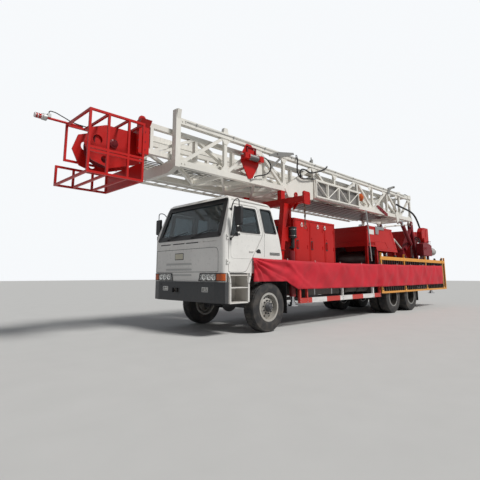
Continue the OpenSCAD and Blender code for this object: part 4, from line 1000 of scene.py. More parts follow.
for side, sign in sides:
    door = f"door_{side}"
    y_skin = side_y * sign
    with piece(f"door_pressing_{side}", cab_paint, door, smooth=60.0) as mesh:
        belt = softened([(1.18, 1.985), (1.18, 1.575), (0.6, 1.575), (0.33, 1.985)], [0.0, 0.07, 0.09, 0.0])
        rib_line(mesh, belt, 0.0055, sign)
        rib_line(mesh, [(1.18, 1.985), (0.975, 1.99), (0.885, 2.095), (0.26, 2.1)], 0.004, sign)
    with piece(f"latch_plate_{side}", trim_plastic, edge=0.002) as mesh:
        latch = [(0.275, 1.7), (0.3, 1.775), (0.36, 1.79), (0.44, 1.74), (0.4, 1.7)]
        plate(mesh, softened(latch, 0.015), "y", y_skin, y_skin + 0.006 * sign)
    with piece(f"door_grip_{side}", cab_paint, door, edge=0.002) as mesh:
        y_grip = y_skin + 0.02 * sign
        bar(mesh, (0.52, y_grip, 1.735), (0.645, y_grip, 1.728), 0.009, 10)
        for x in (0.53, 0.635):
            stud(mesh, "y", x, 1.733, y_skin, y_grip, 0.008, 8)
    # Mirror head: a rounded case with a hooded lip
    with piece(f"mirror_case_{side}", trim_plastic, door, edge=0.007, replaces=(f"mirror_{side}",)) as mesh:
        for v in beside(mesh, rounded(-0.098, 2.225, 0.098, 2.625, 0.045), 1.125, 1.185, sign):
            if v.co.x > 1.15:
                v.co.z = mirror_z + (v.co.z - mirror_z) * 0.93
                v.co.y = mirror_y * sign + (v.co.y - mirror_y * sign) * 0.9
    with piece(f"mirror_face_{side}", chrome, door) as mesh:
        beside(mesh, rounded(-0.088, 2.235, 0.088, 2.615, 0.04), 1.1215, 1.1265, sign)
        beside(mesh, rounded(-0.055, 2.1, 0.055, 2.2, 0.03), 1.1215, 1.1265, sign)
    arm = [(x, y * sign, z) for x, y, z in mirror_arm]
    tube_piece(f"mirror_arm_{side}", arm, 0.0105, trim_plastic, door)
    with piece(f"mirror_feet_{side}", trim_plastic, door, edge=0.003) as mesh:
        block(mesh, (1.165, 1.245 * sign, 1.93), (1.21, 1.262 * sign, 1.99))
        block(mesh, (1.06, 1.135 * sign, 2.575), (1.11, 1.163 * sign, 2.625))
        beside(mesh, rounded(-0.062, 2.095, 0.062, 2.205, 0.035), 1.125, 1.165, sign)

# Rear quarter of the cab: the air slot, shut line and rain strip
with piece("quarter_slots", trim_plastic) as mesh:
    for sign in both:
        for k in range(4):
            z = 1.668 + 0.017 * k
            block(mesh, (-0.37, side_y * sign - 0.001, z), (-0.02, (side_y + 0.003) * sign, z + 0.01))
        rib_line(mesh, [(0.225, 2.72), (0.15, 2.11), (0.165, 1.62)], 0.0035, sign)
print("cab dressed")

# %% [markdown]
# ## The cloth along the left side
# A long plain cloth is tied to the deck's edge and the folded platforms. It hangs nearly
# flat, pulls into slanting creases from each tie and bellies out a little between them. The
# cloth is a fine grid, moved by a few waves and by noise, because the creases run from known
# ties and must stay clear of the turning front wheel. A thin Solidify gives it two faces.

# %% Cloth finish
def woven_cloth(name, colour):
    f = Finish(name)
    tone = f.between(f.grain(2.2, 5.0), 0.35, 0.7)
    warp, weft = [f.node("ShaderNodeTexWave", {"wave_type": "BANDS", "bands_direction": way},
                         {"Vector": f.place(), "Scale": 90.0, "Distortion": 0.6}, out="Fac")
                  for way in "XZ"]
    uv = f.node("ShaderNodeSeparateXYZ", None, {0: f.node("ShaderNodeUVMap", {"uv_map": "cloth"})}, out="Y")
    hem = stretch_of(uv, 0.952, 0.958) + stretch_of(uv, 0.042, 0.048)
    base = f.mix(tone, shade_of(colour, 0.86), shade_of(colour, 1.1))
    return f.surface({"Base Color": f.mix(hem * 0.7, base, shade_of(colour, 0.45)),
                      "Roughness": 0.7 + (tone * 0.15), "Sheen Weight": 0.08,
                      "Sheen Roughness": 0.4}, (warp + weft) * 0.5, 0.001)


cloth_red = woven_cloth("cloth_red", (0.54, 0.01, 0.026))

# %% Cloth
cloth_front = 0.555
cloth_back = -10.86
# Top line and bottom line of the cloth: x and z
cloth_top = [(0.57, 1.6), (-2.5, 1.562), (-5.4, 1.577), (-10.86, 1.62)]
cloth_low = [(0.57, 1.086), (-0.6, 1.09), (-1.0, 0.895), (-5.4, 0.872), (-10.86, 0.882)]
# Where the cloth stands: x and y
cloth_stand = [(0.57, 1.2512), (-5.15, 1.2512), (-5.33, 1.302), (-10.9, 1.302)]
ties = [0.53, -0.62, -1.75, -2.95, -4.15, -5.36, -6.5, -7.65, -8.8, -9.95, -10.82]
cloth_columns = 520
cloth_rows = 26


def along(line, x):
    """Height or stand of the cloth at x, read from a line of points."""
    for (xa, a), (xb, b) in zip(line, line[1:]):
        if xb <= x <= xa:
            return a + (b - a) * (x - xa) / (xb - xa)
    return line[-1][1] if x < line[-1][0] else line[0][1]


def cloth_off(x, v):
    """How far the cloth stands out at x, v from 0 at the top to 1 at the hem."""
    from_corner = math.hypot(0.62 - x, 0.75 * v)
    turn = math.atan2(0.75 * v, 0.62 - x)
    off = 0.008 + 0.01 * math.sin(math.pi * min(1.0, v * 1.15)) * (1 + 0.4 * math.sin(1.7 * x))
    for tie in ties:
        d = x - tie
        spread = 0.16 + 0.65 * v
        fan = math.sin(d / spread * 5.2 + tie * 3.0)
        off += 0.015 * fan * math.exp(-((d / (spread * 1.25)) ** 2)) * (0.25 + 1.1 * v * (1.25 - v))
    off += 0.02 * noise.noise(Vector((x * 1.4 - v * 0.9, v * 1.2, 2.7)))
    off += 0.011 * noise.noise(Vector((x * 4.2 - v * 3.0, v * 2.4, 9.1)))
    # The long fold where the cloth drops past the guard's front post
    slant = x + 0.85 + 1.15 * (v - 0.35)
    off += 0.022 * math.exp(-((slant / 0.1) ** 2)) * (1 - v * 0.5)
    off += 0.012 * math.exp(-(((x - 0.1 + 1.5 * (v - 0.5)) / 0.07) ** 2)) * (1.0 if x > -0.65 else 0.0)
    # Creases that run out from the tied front corner, and slack pulls farther back
    off += 0.03 * math.sin(turn * 19.0 + 0.6) * math.exp(-from_corner / 2.0) * min(1.0, from_corner / 0.3)
    off += 0.014 * math.sin(x * 5.3 + v * 4.2 + 1.6 * math.sin(x * 0.9)) * (0.4 + 0.6 * v)
    off += 0.01 * math.sin(x * 11.7 - v * 5.1 + 2.0 * math.sin(x * 1.3)) * v
    # The tied edge rolls back over the deck's rim
    return 0.003 + max(0.0, off + 0.012) * min(1.0, v / 0.07) ** 0.7


mesh = bmesh.new()
bmesh.ops.create_grid(mesh, x_segments=cloth_columns, y_segments=cloth_rows, size=0.5)
uv_layer = mesh.loops.layers.uv.new("cloth")
for face in mesh.faces:
    for loop in face.loops:
        loop[uv_layer].uv = (loop.vert.co.x + 0.5, loop.vert.co.y + 0.5)
for v in mesh.verts:
    down = 0.5 - v.co.y
    x = cloth_back + (cloth_front - cloth_back) * (v.co.x + 0.5)
    tie_wave = min(abs(x - t) for t in ties)
    top = along(cloth_top, x) - 0.011 * math.sin(min(1.0, tie_wave / 0.55) * math.pi / 2)
    low = along(cloth_low, x) + 0.006 * noise.noise(Vector((x * 1.1, 5.0, 0.0)))
    v.co = Vector((x, along(cloth_stand, x) + cloth_off(x, down), top + (low - top) * down))
cloth_area = sum(face.calc_area() for face in mesh.faces)
cloth = finish_piece("hanging_cloth", mesh, cloth_red, smooth=80.0, replaces=("banner",))
thick = cloth.modifiers.new("cloth thickness", "SOLIDIFY")
thick.thickness = 0.0022
thick.offset = 1.0
eyelets = [(tie, along(cloth_stand, tie) + cloth_off(tie, 0.03), along(cloth_top, tie) - 0.02)
           for tie in ties]
with piece("cloth_eyelets", zinc, smooth=60.0) as mesh:
    for x, y, z in eyelets:
        ring(mesh, (x, y + 0.003, z), "y", 0.011, 0.0028, 16, 6)
for k, (x, y, z) in enumerate(eyelets):
    knot = [(x, y + 0.006, z - 0.004), (x + 0.006, y + 0.01, z + 0.02), (x, y + 0.004, z + 0.045),
            (x - 0.004, y - 0.01, z + 0.05), (x - 0.002, y - 0.004, z + 0.012)]
    tube_piece(f"cloth_tie_{k}", knot, 0.0028, cab_paint)
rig.sheet(cloth, flat=(11.42, 0.745), held="hung", area=cloth_area, rests_on=["platforms", "deck"],
         with_pieces=["cloth_eyelets"] + [f"cloth_tie_{k}" for k in range(len(eyelets))])
print("cloth area", round(cloth_area, 2))

# %% [markdown]
# ## Mast hardware
# The lattice is CAD. On the real mast every joint has a gusset, cables are clipped along the
# top chord, hoses loop between the sections and small brackets carry lamps and ropes. These
# small things are what the eye checks, so each is made from plates and bars in its place.

# %% Gussets and pins on the lower mast
mast_y = 0.65
mast_out = 0.71
mast_low = 3.42
mast_top = 4.45
mast_posts = (0.82, -0.255, -1.29, -2.67, -3.8, -4.98, -6.08, -7.16, -8.24, -9.4)
with piece("mast_gussets", mast_paint, "mast_lower", mirror=True, edge=0.002) as mesh:
    for x in mast_posts:
        for z, way in ((mast_low + 0.13, 1.0), (mast_top - 0.13, -1.0)):
            foot = z - 0.03 * way
            head = z + 0.13 * way
            plate(mesh, [(x - 0.17, foot), (x - 0.05, head), (x + 0.05, head), (x + 0.17, foot)],
                  "y", mast_y + 0.034, mast_y + 0.044)
            for dx in (-0.09, 0.09):
                stud(mesh, "y", x + dx, z + 0.012 * way, mast_y + 0.04, mast_y + 0.054, 0.012)
    # Pins and cover plates at the ends of the chords
    for x in (2.06, 1.98):
        for z in (mast_low + 0.065, mast_top - 0.065):
            stud(mesh, "y", x, z, mast_y + 0.055, mast_y + 0.075, 0.017)
    for x in (-9.46, -8.46):
        cover = [(x - 0.13, 4.33), (x - 0.13, 4.5), (x + 0.16, 4.47), (x + 0.16, 4.33)]
        plate(mesh, softened(cover, 0.03), "y", mast_y + 0.0605, mast_y + 0.075)
# Cross members over the open top near the foot, and the flared heads of the tall posts
with piece("mast_crossings", mast_paint, "mast_lower", edge=0.003) as mesh:
    for x in (-8.55, -9.3):
        block(mesh, (x - 0.04, -mast_y + 0.05, mast_top - 0.11), (x + 0.04, mast_y - 0.05, mast_top - 0.03))
    for sign in both:
        y = sign * (mast_y + 0.055)
        plate(mesh, [(y, 4.4), (y, 4.62), (sign * (mast_y + 0.1), 4.62)], "x", 2.11, 2.21)
        plate(mesh, [(0.74, 4.44), (0.77, 4.58), (0.87, 4.58), (0.9, 4.44)], "y",
              sign * mast_y - 0.045, sign * mast_y + 0.045)

# %% Grey brackets along the mast
bracket_grey = paint("bracket_grey", (0.24, 0.24, 0.23), coat=0.1)
near = mast_out + 0.001
# Plates across y, each an outline of (x, z) and the y it runs from and to
bracket_plates = [
    ([(-0.63, 4.27), (-1.03, 4.43), (-1.66, 4.55), (-1.7, 4.5), (-1.14, 4.32), (-0.66, 4.235)],
     near, mast_out + 0.022),
    ([(-0.66, 3.92), (-1.06, 4.27), (-1.12, 4.31), (-1.14, 4.26), (-0.7, 3.9)], near, mast_out + 0.018),
    # Arm of the rope guide near the foot
    ([(-7.42, 4.28), (-7.52, 4.5), (-7.72, 4.57), (-8.02, 4.63), (-8.06, 4.58), (-7.78, 4.5),
      (-7.62, 4.42), (-7.58, 4.28)], mast_out - 0.02, mast_out + 0.035),
    ([(-2.56, 4.44), (-2.56, 4.52), (-2.62, 4.58), (-2.66, 4.58), (-2.66, 4.44)],
     mast_y - 0.03, mast_y + 0.03),
    ([(-9.12, 4.44), (-9.14, 4.5), (-9.62, 4.47), (-9.6, 4.42)], mast_y - 0.05, mast_y + 0.05)]
with piece("mast_brackets", bracket_grey, "mast_lower", slot="bumper_grey", edge=0.003) as mesh:
    for outline, low, high in bracket_plates:
        plate(mesh, outline, "y", low, high)
    stud(mesh, "y", -0.98, 4.375, near, mast_out + 0.045, 0.026, 12)
    stud(mesh, "y", -1.05, 4.3, near, mast_out + 0.045, 0.022, 12)
    stud(mesh, "y", -7.96, 4.6, mast_out - 0.05, mast_out + 0.07, 0.035, 16)
    stud(mesh, "z", -2.61, mast_y, 4.57, 4.64, 0.014, 10)

# Members across the racking board's net
net_y = 0.786
net_posts = (-2.64, -3.25, -3.86, -4.47, -5.08)
with piece("racking_members", mast_paint, "mast_lower", edge=0.003) as mesh:
    for x in net_posts:
        block(mesh, (x - 0.022, net_y - 0.018, 3.44), (x + 0.022, net_y + 0.012, 3.955))
    for k, (x_a, x_b) in enumerate(zip(net_posts, net_posts[1:])):
        z_a, z_b = (3.48, 3.91) if k % 2 else (3.91, 3.48)
        bar(mesh, (x_a, net_y - 0.004, z_a), (x_b, net_y - 0.004, z_b), 0.017, 8)
    for z_low, z_high in ((3.905, 3.955), (3.44, 3.485)):
        block(mesh, (-5.12, net_y - 0.018, z_low), (-2.6, net_y + 0.016, z_high))
# Maroon bracket with two holes on the racking board's rear end
with piece("mast_red_arm", maroon_paint, "mast_lower", edge=0.002) as mesh:
    plate(mesh, [(-6.5, 3.7), (-6.62, 3.72), (-7.34, 3.49), (-7.34, 3.4), (-7.22, 3.4), (-6.56, 3.6)],
          "y", near, mast_out + 0.018)
    for x, z in ((-6.78, 3.605), (-7.02, 3.53)):
        ring(mesh, (x, mast_out + 0.018, z), "y", 0.038, 0.012, 20, 6)

# Round amber lamp on the racking board
lamp_at = Vector((-5.22, mast_out + 0.062, 3.8))
lamp_orange = paint("lamp_orange", (0.5, 0.14, 0.02), roughness=0.5, coat=0.0)
with piece("mast_lamp_lens", amber_glass, "mast_lower") as mesh:
    turned(mesh, [(0.0, 0.105), (0.05, 0.1), (0.09, 0.08), (0.112, 0.05), (0.118, 0.03)], lamp_at, "y")
with piece("mast_lamp_case", lamp_orange, "mast_lower", slot="platform_yellow") as mesh:
    turned(mesh, [(0.0, -0.03), (0.1, -0.028), (0.134, 0.0), (0.136, 0.034), (0.128, 0.042), (0.116, 0.036),
                  (0.1, 0.028), (0.0, 0.026)], lamp_at, "y")
    block(mesh, (-5.3, mast_out - 0.002, 3.7), (-5.14, mast_out + 0.036, 3.9))
    bolts(mesh, around(lamp_at, "y", 0.128, 8), "y", 0.02, 0.046, 0.008)

# %% [markdown]
# ## Hoses
# A hose keeps its length and hangs in smooth loops between its fittings. Each one here is a
# curve through a few points read from the photograph, with a round section. The long hose
# from the mast's foot to the pump housing crosses the mast's hinge, so it bends with it.

# %% Hoses on the mast
# Each hose: radius, and points of (x, distance out from the mast, z)
mast_hoses = {
    "winch_hose": (0.016, [
        (-0.3, 0.075, 4.13), (-0.48, 0.095, 4.08), (-0.6, 0.105, 3.93), (-0.55, 0.095, 3.78),
        (-0.36, 0.075, 3.67), (-0.12, 0.055, 3.6), (0.03, 0.02, 3.5)]),
    "mast_hose_a": (0.021, [
        (-1.79, 0.02, 4.49), (-1.76, 0.075, 4.36), (-1.73, 0.085, 4.14), (-1.76, 0.085, 3.97),
        (-1.9, 0.075, 3.88), (-2.2, 0.075, 3.9), (-2.58, 0.05, 3.965)]),
    "mast_hose_b": (0.021, [
        (-1.92, 0.095, 3.89), (-1.82, 0.115, 3.97), (-1.86, 0.115, 4.08), (-2.02, 0.105, 4.13),
        (-2.33, 0.095, 4.1), (-2.62, 0.085, 4.17), (-2.95, 0.075, 4.29), (-3.25, 0.04, 4.44),
        (-3.33, 0.01, 4.49)])}


def off_mast(points):
    return [Vector((x, mast_out + out, z)) for x, out, z in points]


with piece("hose_fittings", zinc, "mast_lower") as mesh:
    for name, (radius, points) in mast_hoses.items():
        points = off_mast(points)
        tube_piece(name, points, radius, hose_rubber, "mast_lower")
        for first, second in ((points[0], points[1]), (points[-1], points[-2])):
            step = (second - first).normalized()
            bar(mesh, first - step * 0.02, first + step * 0.055, radius + 0.006, 6)
            bar(mesh, first + step * 0.03, first + step * 0.085, radius + 0.003)
# Cable clipped along the top chord, and the winch's pipe stub
cable = [(x, mast_out + 0.014 + 0.004 * math.sin(x * 5), 4.405 + 0.006 * math.sin(x * 3)) for x in
         [2.0 - 0.55 * k for k in range(21)]]
tube_piece("mast_cable", cable, 0.007, zinc, "mast_lower")
winch_y = mast_out + 0.11
with piece("cable_clips", zinc, "mast_lower") as mesh:
    for k in range(10):
        x = 1.7 - 1.1 * k
        block(mesh, (x - 0.015, mast_out - 0.002, 4.385), (x + 0.015, mast_out + 0.028, 4.425))
    bar(mesh, (0.06, winch_y, 4.03), (0.46, winch_y, 4.03), 0.022)
# Winch dress: rope on its drum, end bolts and a frame
rope_steel = bright_steel("rope_steel", (0.3, 0.3, 0.29), 0.5)
with piece("winch_rope", rope_steel, "mast_lower", slot="ram_steel") as mesh:
    for k in range(11):
        ring(mesh, (-0.085 + 0.029 * k, winch_y, 4.01), "x", 0.066, 0.0105, 24, 6)
with piece("winch_bolts", maroon_paint, "mast_lower", edge=0.002) as mesh:
    for sign in both:
        bolts(mesh, around((0.06 + sign * 0.32, mast_out + 0.1, 4.01), "x", 0.048, 6), "x",
              -sign * 0.004, sign * 0.012, 0.008)
    for x_low, x_high, z in ((-0.13, -0.09, 4.1), (0.16, 0.2, 4.1), (-0.13, 0.2, 4.27)):
        block(mesh, (x_low, mast_out + 0.02, z), (x_high, mast_out + 0.05, 4.3))
# The thick hose from the mast's foot to the pump housing
foot_path = off_mast([(-8.1, 0.045, 3.93), (-8.5, 0.05, 3.88), (-9.0, 0.06, 3.83), (-9.4, 0.07, 3.77),
                      (-9.72, 0.08, 3.64), (-9.93, 0.09, 3.45), (-10.05, 0.1, 3.28), (-10.09, 0.11, 3.18)])
foot_hose = tube_piece("foot_hose", foot_path, 0.036, hose_rubber)
foot_hose.parent = None
del foot_hose["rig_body"]
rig.blend(foot_hose, "chassis", "mast_lower", (-10.05 + front_axle_x, 0.0, 3.3),
         (-8.6 + front_axle_x, 0.0, 3.86))
print("mast dressed")

# %% [markdown]
# ## Crown
# The crown's sheaves need their rope grooves: two flanges on each disc. The ropes lie along
# the upper mast from there, clamped for the road. The beacon is a banded lamp in a wire guard
# with its own cable.

# %% Sheave flanges and ropes
sheave_ys = (-0.21, -0.105, 0.0, 0.105, 0.21)
sheave_x = 3.35
sheave_z = 3.68
with piece("sheave_flanges", maroon_paint, "mast_upper", mirror=True) as mesh:
    for y in sheave_ys:
        rim = [(0.318, 0.014), (0.346, 0.02), (0.35, 0.026), (0.346, 0.0325), (0.318, 0.0345)]
        turned(mesh, rim, (sheave_x, y, sheave_z), "y", 40)
    turned(mesh, [(0.0, 0.06), (0.045, 0.058), (0.06, 0.045), (0.085, 0.04), (0.09, 0.0)],
           (sheave_x, 0.285, sheave_z), "y", 24)
    bolts(mesh, around((sheave_x, 0.325, sheave_z), "y", 0.072, 8), "y", -0.01, 0.01, 0.009)
    for z in (3.64, 3.8, 4.0, 4.15):
        for x in (2.96, 2.81):
            stud(mesh, "y", x, z, 0.519, 0.533, 0.014)
rope_grey = bright_steel("rope_grey", (0.26, 0.26, 0.25), 0.5)
with piece("mast_ropes", rope_grey, "mast_upper", slot="ram_steel") as mesh:
    for y in sheave_ys:
        bar(mesh, (3.3, y, 3.345), (2.6, y, 3.535), 0.012, 8)
        bar(mesh, (2.6, y, 3.535), (-8.3, y * 0.8, 3.578), 0.012, 8)
with piece("rope_clamps", mast_paint, "mast_upper") as mesh:
    for k in range(7):
        x = 1.6 - 1.6 * k
        block(mesh, (x - 0.03, -0.24, 3.555), (x + 0.03, 0.24, 3.601))
        for y in (-0.25, 0.25):
            stud(mesh, "z", x, y, 3.56, 3.66, 0.008)

# %% Beacon
beacon_y = -0.32
beacon_z = 4.088


def on_beacon(x):
    return (x, beacon_y, beacon_z)


with piece("beacon_guard", zinc, "mast_upper", slot="beacon_white") as mesh:
    for x in (4.385, 4.44):
        ring(mesh, on_beacon(x), "x", 0.058, 0.006, 24, 6)
    ring(mesh, on_beacon(4.565), "x", 0.048, 0.003, 20, 6)
    turned(mesh, [(0.0, 0.0), (0.04, 0.0), (0.06, 0.012), (0.062, 0.05), (0.056, 0.066)],
           on_beacon(4.36), "x", 24)
    bolts(mesh, around(on_beacon(4.46), "x", 0.05, 6), "x", 0.0, 0.105, 0.003)
    block(mesh, (4.3, beacon_y - 0.03, beacon_z + 0.015), (4.36, beacon_y + 0.03, beacon_z + 0.085))
with piece("beacon_bands", red_glass, "mast_upper") as mesh:
    turned(mesh, [(0.047, 0.0), (0.05, 0.01), (0.05, 0.035), (0.047, 0.045)], on_beacon(4.47), "x", 24)
    turned(mesh, [(0.047, 0.06), (0.05, 0.07), (0.046, 0.09)], on_beacon(4.47), "x", 24)
with piece("beacon_pole_sleeve", red_paint, "mast_upper") as mesh:
    bar(mesh, on_beacon(3.72), on_beacon(4.372), 0.0225, 16)
    bar(mesh, on_beacon(3.9), on_beacon(3.96), 0.032, 16)
# Points of the cable: x, and how far it stands beside and over the beacon's middle
cable = [(4.33, 0.0, 0.08), (4.33, 0.0, 0.13), (4.26, 0.0, 0.145), (4.1, 0.01, 0.1), (3.9, 0.02, 0.035),
         (3.6, 0.03, 0.012), (3.2, 0.03, 0.008), (2.96, 0.03, 0.006)]
tube_piece("beacon_cable", [(x, beacon_y + dy, beacon_z + dz) for x, dy, dz in cable], 0.0095,
           hose_rubber, "mast_upper")
frame["nodes"]["beacon"].data.materials[0] = beacon_paint
print("crown dressed")

# %% [markdown]
# ## Mast rest, engine cabinet and drawworks house
# The red boxes are welded sheet. Seams, hinges, handles, lifting lugs and a stiffening line
# pressed into the sheet give them scale. The rest carries a chain with a hook, and an air
# filter stands between its leg and the cabinet.

# %% Mast rest
rest_x = -1.2
hook_x = -1.13
hook_y = 1.44
with piece("rest_details", red_paint, edge=0.002) as mesh:
    for sign in both:
        # Weld-on stiffeners and bolted caps
        for x in (rest_x - 0.07, rest_x + 0.06):
            plate(mesh, [(sign * 0.99, 3.02), (sign * 1.16, 3.02), (sign * 0.99, 2.86)], "x", x, x + 0.012)
        for z in (3.03, 3.21):
            for x in (-1.29, -1.11):
                stud(mesh, "y", x, z, sign * 1.468, sign * 1.484, 0.014)
        for y in (1.108, 1.142, 1.368, 1.402):
            ring(mesh, (rest_x, sign * y, 3.25), "y", 0.038, 0.006, 20, 6)
        for z in (1.35, 1.6, 1.85):
            stud(mesh, "x", sign * 0.99, z, -0.69, -0.9, 0.014, 8)
        block(mesh, (-1.19, sign * 0.825, 1.22), (-0.62, sign * 0.985, 1.238))


def chain(mesh, top, bottom, link, wire):
    """Hanging chain: oval links, each turned a quarter from the last."""
    top = Vector(top)
    bottom = Vector(bottom)
    count = int((top - bottom).length / (link - 2.2 * wire))
    for k in range(count):
        centre = top + (bottom - top) * ((k + 0.5) / count)
        start = len(mesh.verts)
        ring(mesh, centre, "x" if k % 2 else "y", link * 0.3, wire, 14, 6)
        mesh.verts.ensure_lookup_table()
        for v in mesh.verts[start:]:
            v.co.z = centre.z + (v.co.z - centre.z) * 1.55


for side, sign in sides:
    with piece(f"rest_chain_{side}", rusty, smooth=60.0) as mesh:
        chain(mesh, (hook_x, hook_y * sign, 3.02), (hook_x, hook_y * sign, 2.5), 0.075, 0.0075)
with piece("rest_hooks", rusty, smooth=60.0) as mesh:
    for sign in both:
        y = hook_y * sign
        ring(mesh, (hook_x, y, 2.465), "y", 0.026, 0.009, 16, 8)
        turned(mesh, [(0.045, 0.011), (0.056, 0.0), (0.045, -0.011), (0.036, 0.0), (0.045, 0.011)],
               (hook_x, y, 2.395), "y", 20)
        bar(mesh, (hook_x, y - 0.008 * sign, 3.02), (hook_x, y + 0.008 * sign, 3.05), 0.02, 8)

# %% Air filter beside the cabinet
filter_x = -1.155
filter_y = 1.035
canister = [(0.0, -0.15), (0.088, -0.15), (0.098, -0.135), (0.098, 0.1), (0.104, 0.105), (0.104, 0.125),
            (0.09, 0.135), (0.0, 0.14)]
with piece("air_filters", trim_plastic, mirror=True) as mesh:
    turned(mesh, canister, (filter_x, filter_y, 2.29), "z", 28)
    stud(mesh, "z", filter_x, filter_y, 2.16, 1.9, 0.045, 16)
    bar(mesh, (filter_x, filter_y, 1.93), (filter_x, 0.95, 1.9), 0.042, 16)
with piece("filter_bands", zinc, mirror=True) as mesh:
    for z in (2.2, 2.36):
        ring(mesh, (filter_x, filter_y, z), "z", 0.099, 0.004, 28, 6)
    block(mesh, (-1.26, 0.96, 2.18), (-1.195, 1.04, 2.38))

# %% Engine cabinet
cabinet_y = 1.03
door_table = [(-1.215, -1.82), (-1.84, -2.52), (-2.54, -3.06)]
fan_xs = (-1.75, -2.45)


def handle_plate(mesh, x, half_x, half_z, radius, thickness):
    outline = rounded(x - half_x, 2.0 - half_z, x + half_x, 2.0 + half_z, radius)
    plate(mesh, outline, "y", cabinet_y + 0.0142, cabinet_y + 0.0142 + thickness)


with piece("cabinet_sheet", red_paint, edge=0.003) as mesh:
    for front, back in door_table:
        # A raised inner panel, hinges at the front edge, a round lock and the handle's plate
        panel = rounded(back + 0.08, 1.33, front - 0.08, 2.55, 0.03)
        plate(mesh, panel, "y", cabinet_y + 0.01, cabinet_y + 0.0145)
        for z in (1.45, 1.95, 2.42):
            stud(mesh, "z", back + 0.046, cabinet_y + 0.014, z - 0.05, z + 0.05, 0.011, 10)
        stud(mesh, "y", front - 0.125, 2.19, cabinet_y + 0.012, cabinet_y + 0.026, 0.022, 16)
        handle_plate(mesh, front - 0.13, 0.034, 0.09, 0.033, 0.0053)
    # Roof rim, corner angles
    block(mesh, (-3.095, 0.985, 2.625), (-1.19, cabinet_y + 0.014, 2.672))
    for x in (-3.09, -1.215):
        block(mesh, (x, 0.99, 1.225), (x + 0.026, cabinet_y + 0.012, 2.63))
    mirrored(mesh)
    block(mesh, (-1.212, -1.03, 2.625), (-1.178, 1.03, 2.672))
    block(mesh, (-3.1, -1.03, 2.625), (-3.075, 1.03, 2.672))
    # Roof: two fan cowls and ribs
    for x in fan_xs:
        cowl = [(0.3, 0.0), (0.3, 0.055), (0.285, 0.062), (0.27, 0.055), (0.27, 0.012)]
        turned(mesh, cowl, (x, 0.0, 2.66), "z", 40)
    for y in (-0.75, 0.75):
        block(mesh, (-3.02, y - 0.03, 2.66), (-1.28, y + 0.03, 2.685))
with piece("cabinet_grilles", trim_plastic) as mesh:
    for front, back in door_table:
        handle_plate(mesh, front - 0.13, 0.056, 0.12, 0.052, 0.0028)
    mirrored(mesh)
    block(mesh, (-1.215, -0.59, 1.71), (-1.205, 0.59, 2.49))
    for x in fan_xs:
        middle = Vector((x, 0.0, 2.7))
        for r in (0.08, 0.15, 0.22):
            ring(mesh, middle, "z", r, 0.004, 28, 5)
        for k in range(4):
            arm = Matrix.Rotation(math.pi / 4 * k, 3, "Z") @ Vector((0.28, 0.0, 0.0))
            bar(mesh, middle - arm, middle + arm, 0.004, 6)
        turned(mesh, [(0.0, 0.01), (0.26, 0.01)], (x, 0.0, 2.66), "z", 28)
    for k in range(18):
        z = 1.73 + 0.0435 * k
        block(mesh, (-1.206, -0.59, z), (-1.196, 0.59, z + 0.018))
# Lifting rings near the roof and the exhaust pipe behind them
with piece("lifting_rings", cab_paint, mirror=True, smooth=60.0) as mesh:
    for x in (-1.52, -2.24, -2.58):
        ring(mesh, (x, cabinet_y + 0.022, 2.505), "y", 0.036, 0.0095, 22, 8)
        block(mesh, (x - 0.02, cabinet_y + 0.01, 2.535), (x + 0.02, cabinet_y + 0.028, 2.575))
exhaust = [(-2.95, 2.6), (-2.95, 2.78), (-2.95, 2.86), (-3.0, 2.93), (-3.1, 2.965), (-3.2, 2.97)]
tube_piece("exhaust_pipe", [(x, -0.45, z) for x, z in exhaust], 0.058, rusty, slot="axle_grey")

# %% Drawworks house
house_y = 1.07
drum_x = -6.2
drum_z = 1.8


def pressed_line(mesh, points, radius):
    for (xa, za), (xb, zb) in zip(points, points[1:]):
        bar(mesh, (xa, house_y, za), (xb, house_y, zb), radius, 8)


with piece("house_sheet", red_paint, edge=0.002) as mesh:
    pressed_line(mesh, [(-5.46, 2.34), (-6.22, 2.34), (-6.42, 2.16), (-6.62, 2.16)], 0.008)
    pressed_line(mesh, [(-5.03, 2.66), (-5.1, 2.745), (-6.58, 2.745), (-6.66, 2.66), (-7.03, 2.15),
                        (-6.98, 2.09), (-5.66, 2.09)], 0.0055)
    block(mesh, (-4.975, house_y - 0.03, 2.14), (-4.945, house_y + 0.01, 2.812))
    block(mesh, (-6.79, house_y - 0.03, 2.775), (-4.945, house_y + 0.01, 2.812))
    for x, z in ((-6.72, 2.66), (-6.86, 2.48), (-6.99, 2.31), (-7.12, 2.14)):
        stud(mesh, "y", x, z, house_y - 0.004, house_y + 0.01, 0.014)
    for k in range(9):
        block(mesh, (-5.2 - 0.036 * k, house_y, 2.2), (-5.216 - 0.036 * k, house_y + 0.012, 2.3))
    for x in (-5.25, -6.45):
        ring(mesh, (x, house_y - 0.1, 2.835), "x", 0.034, 0.01, 20, 8)
    mirrored(mesh)
    for z in (2.3, 2.62):
        block(mesh, (-4.955, -1.0, z), (-4.938, 1.0, z + 0.03))
with piece("house_plate_blank", cab_paint, mirror=True) as mesh:
    plate(mesh, rounded(-5.12, 2.545, -5.44, 2.7, 0.015), "y", house_y + 0.001, house_y + 0.005)
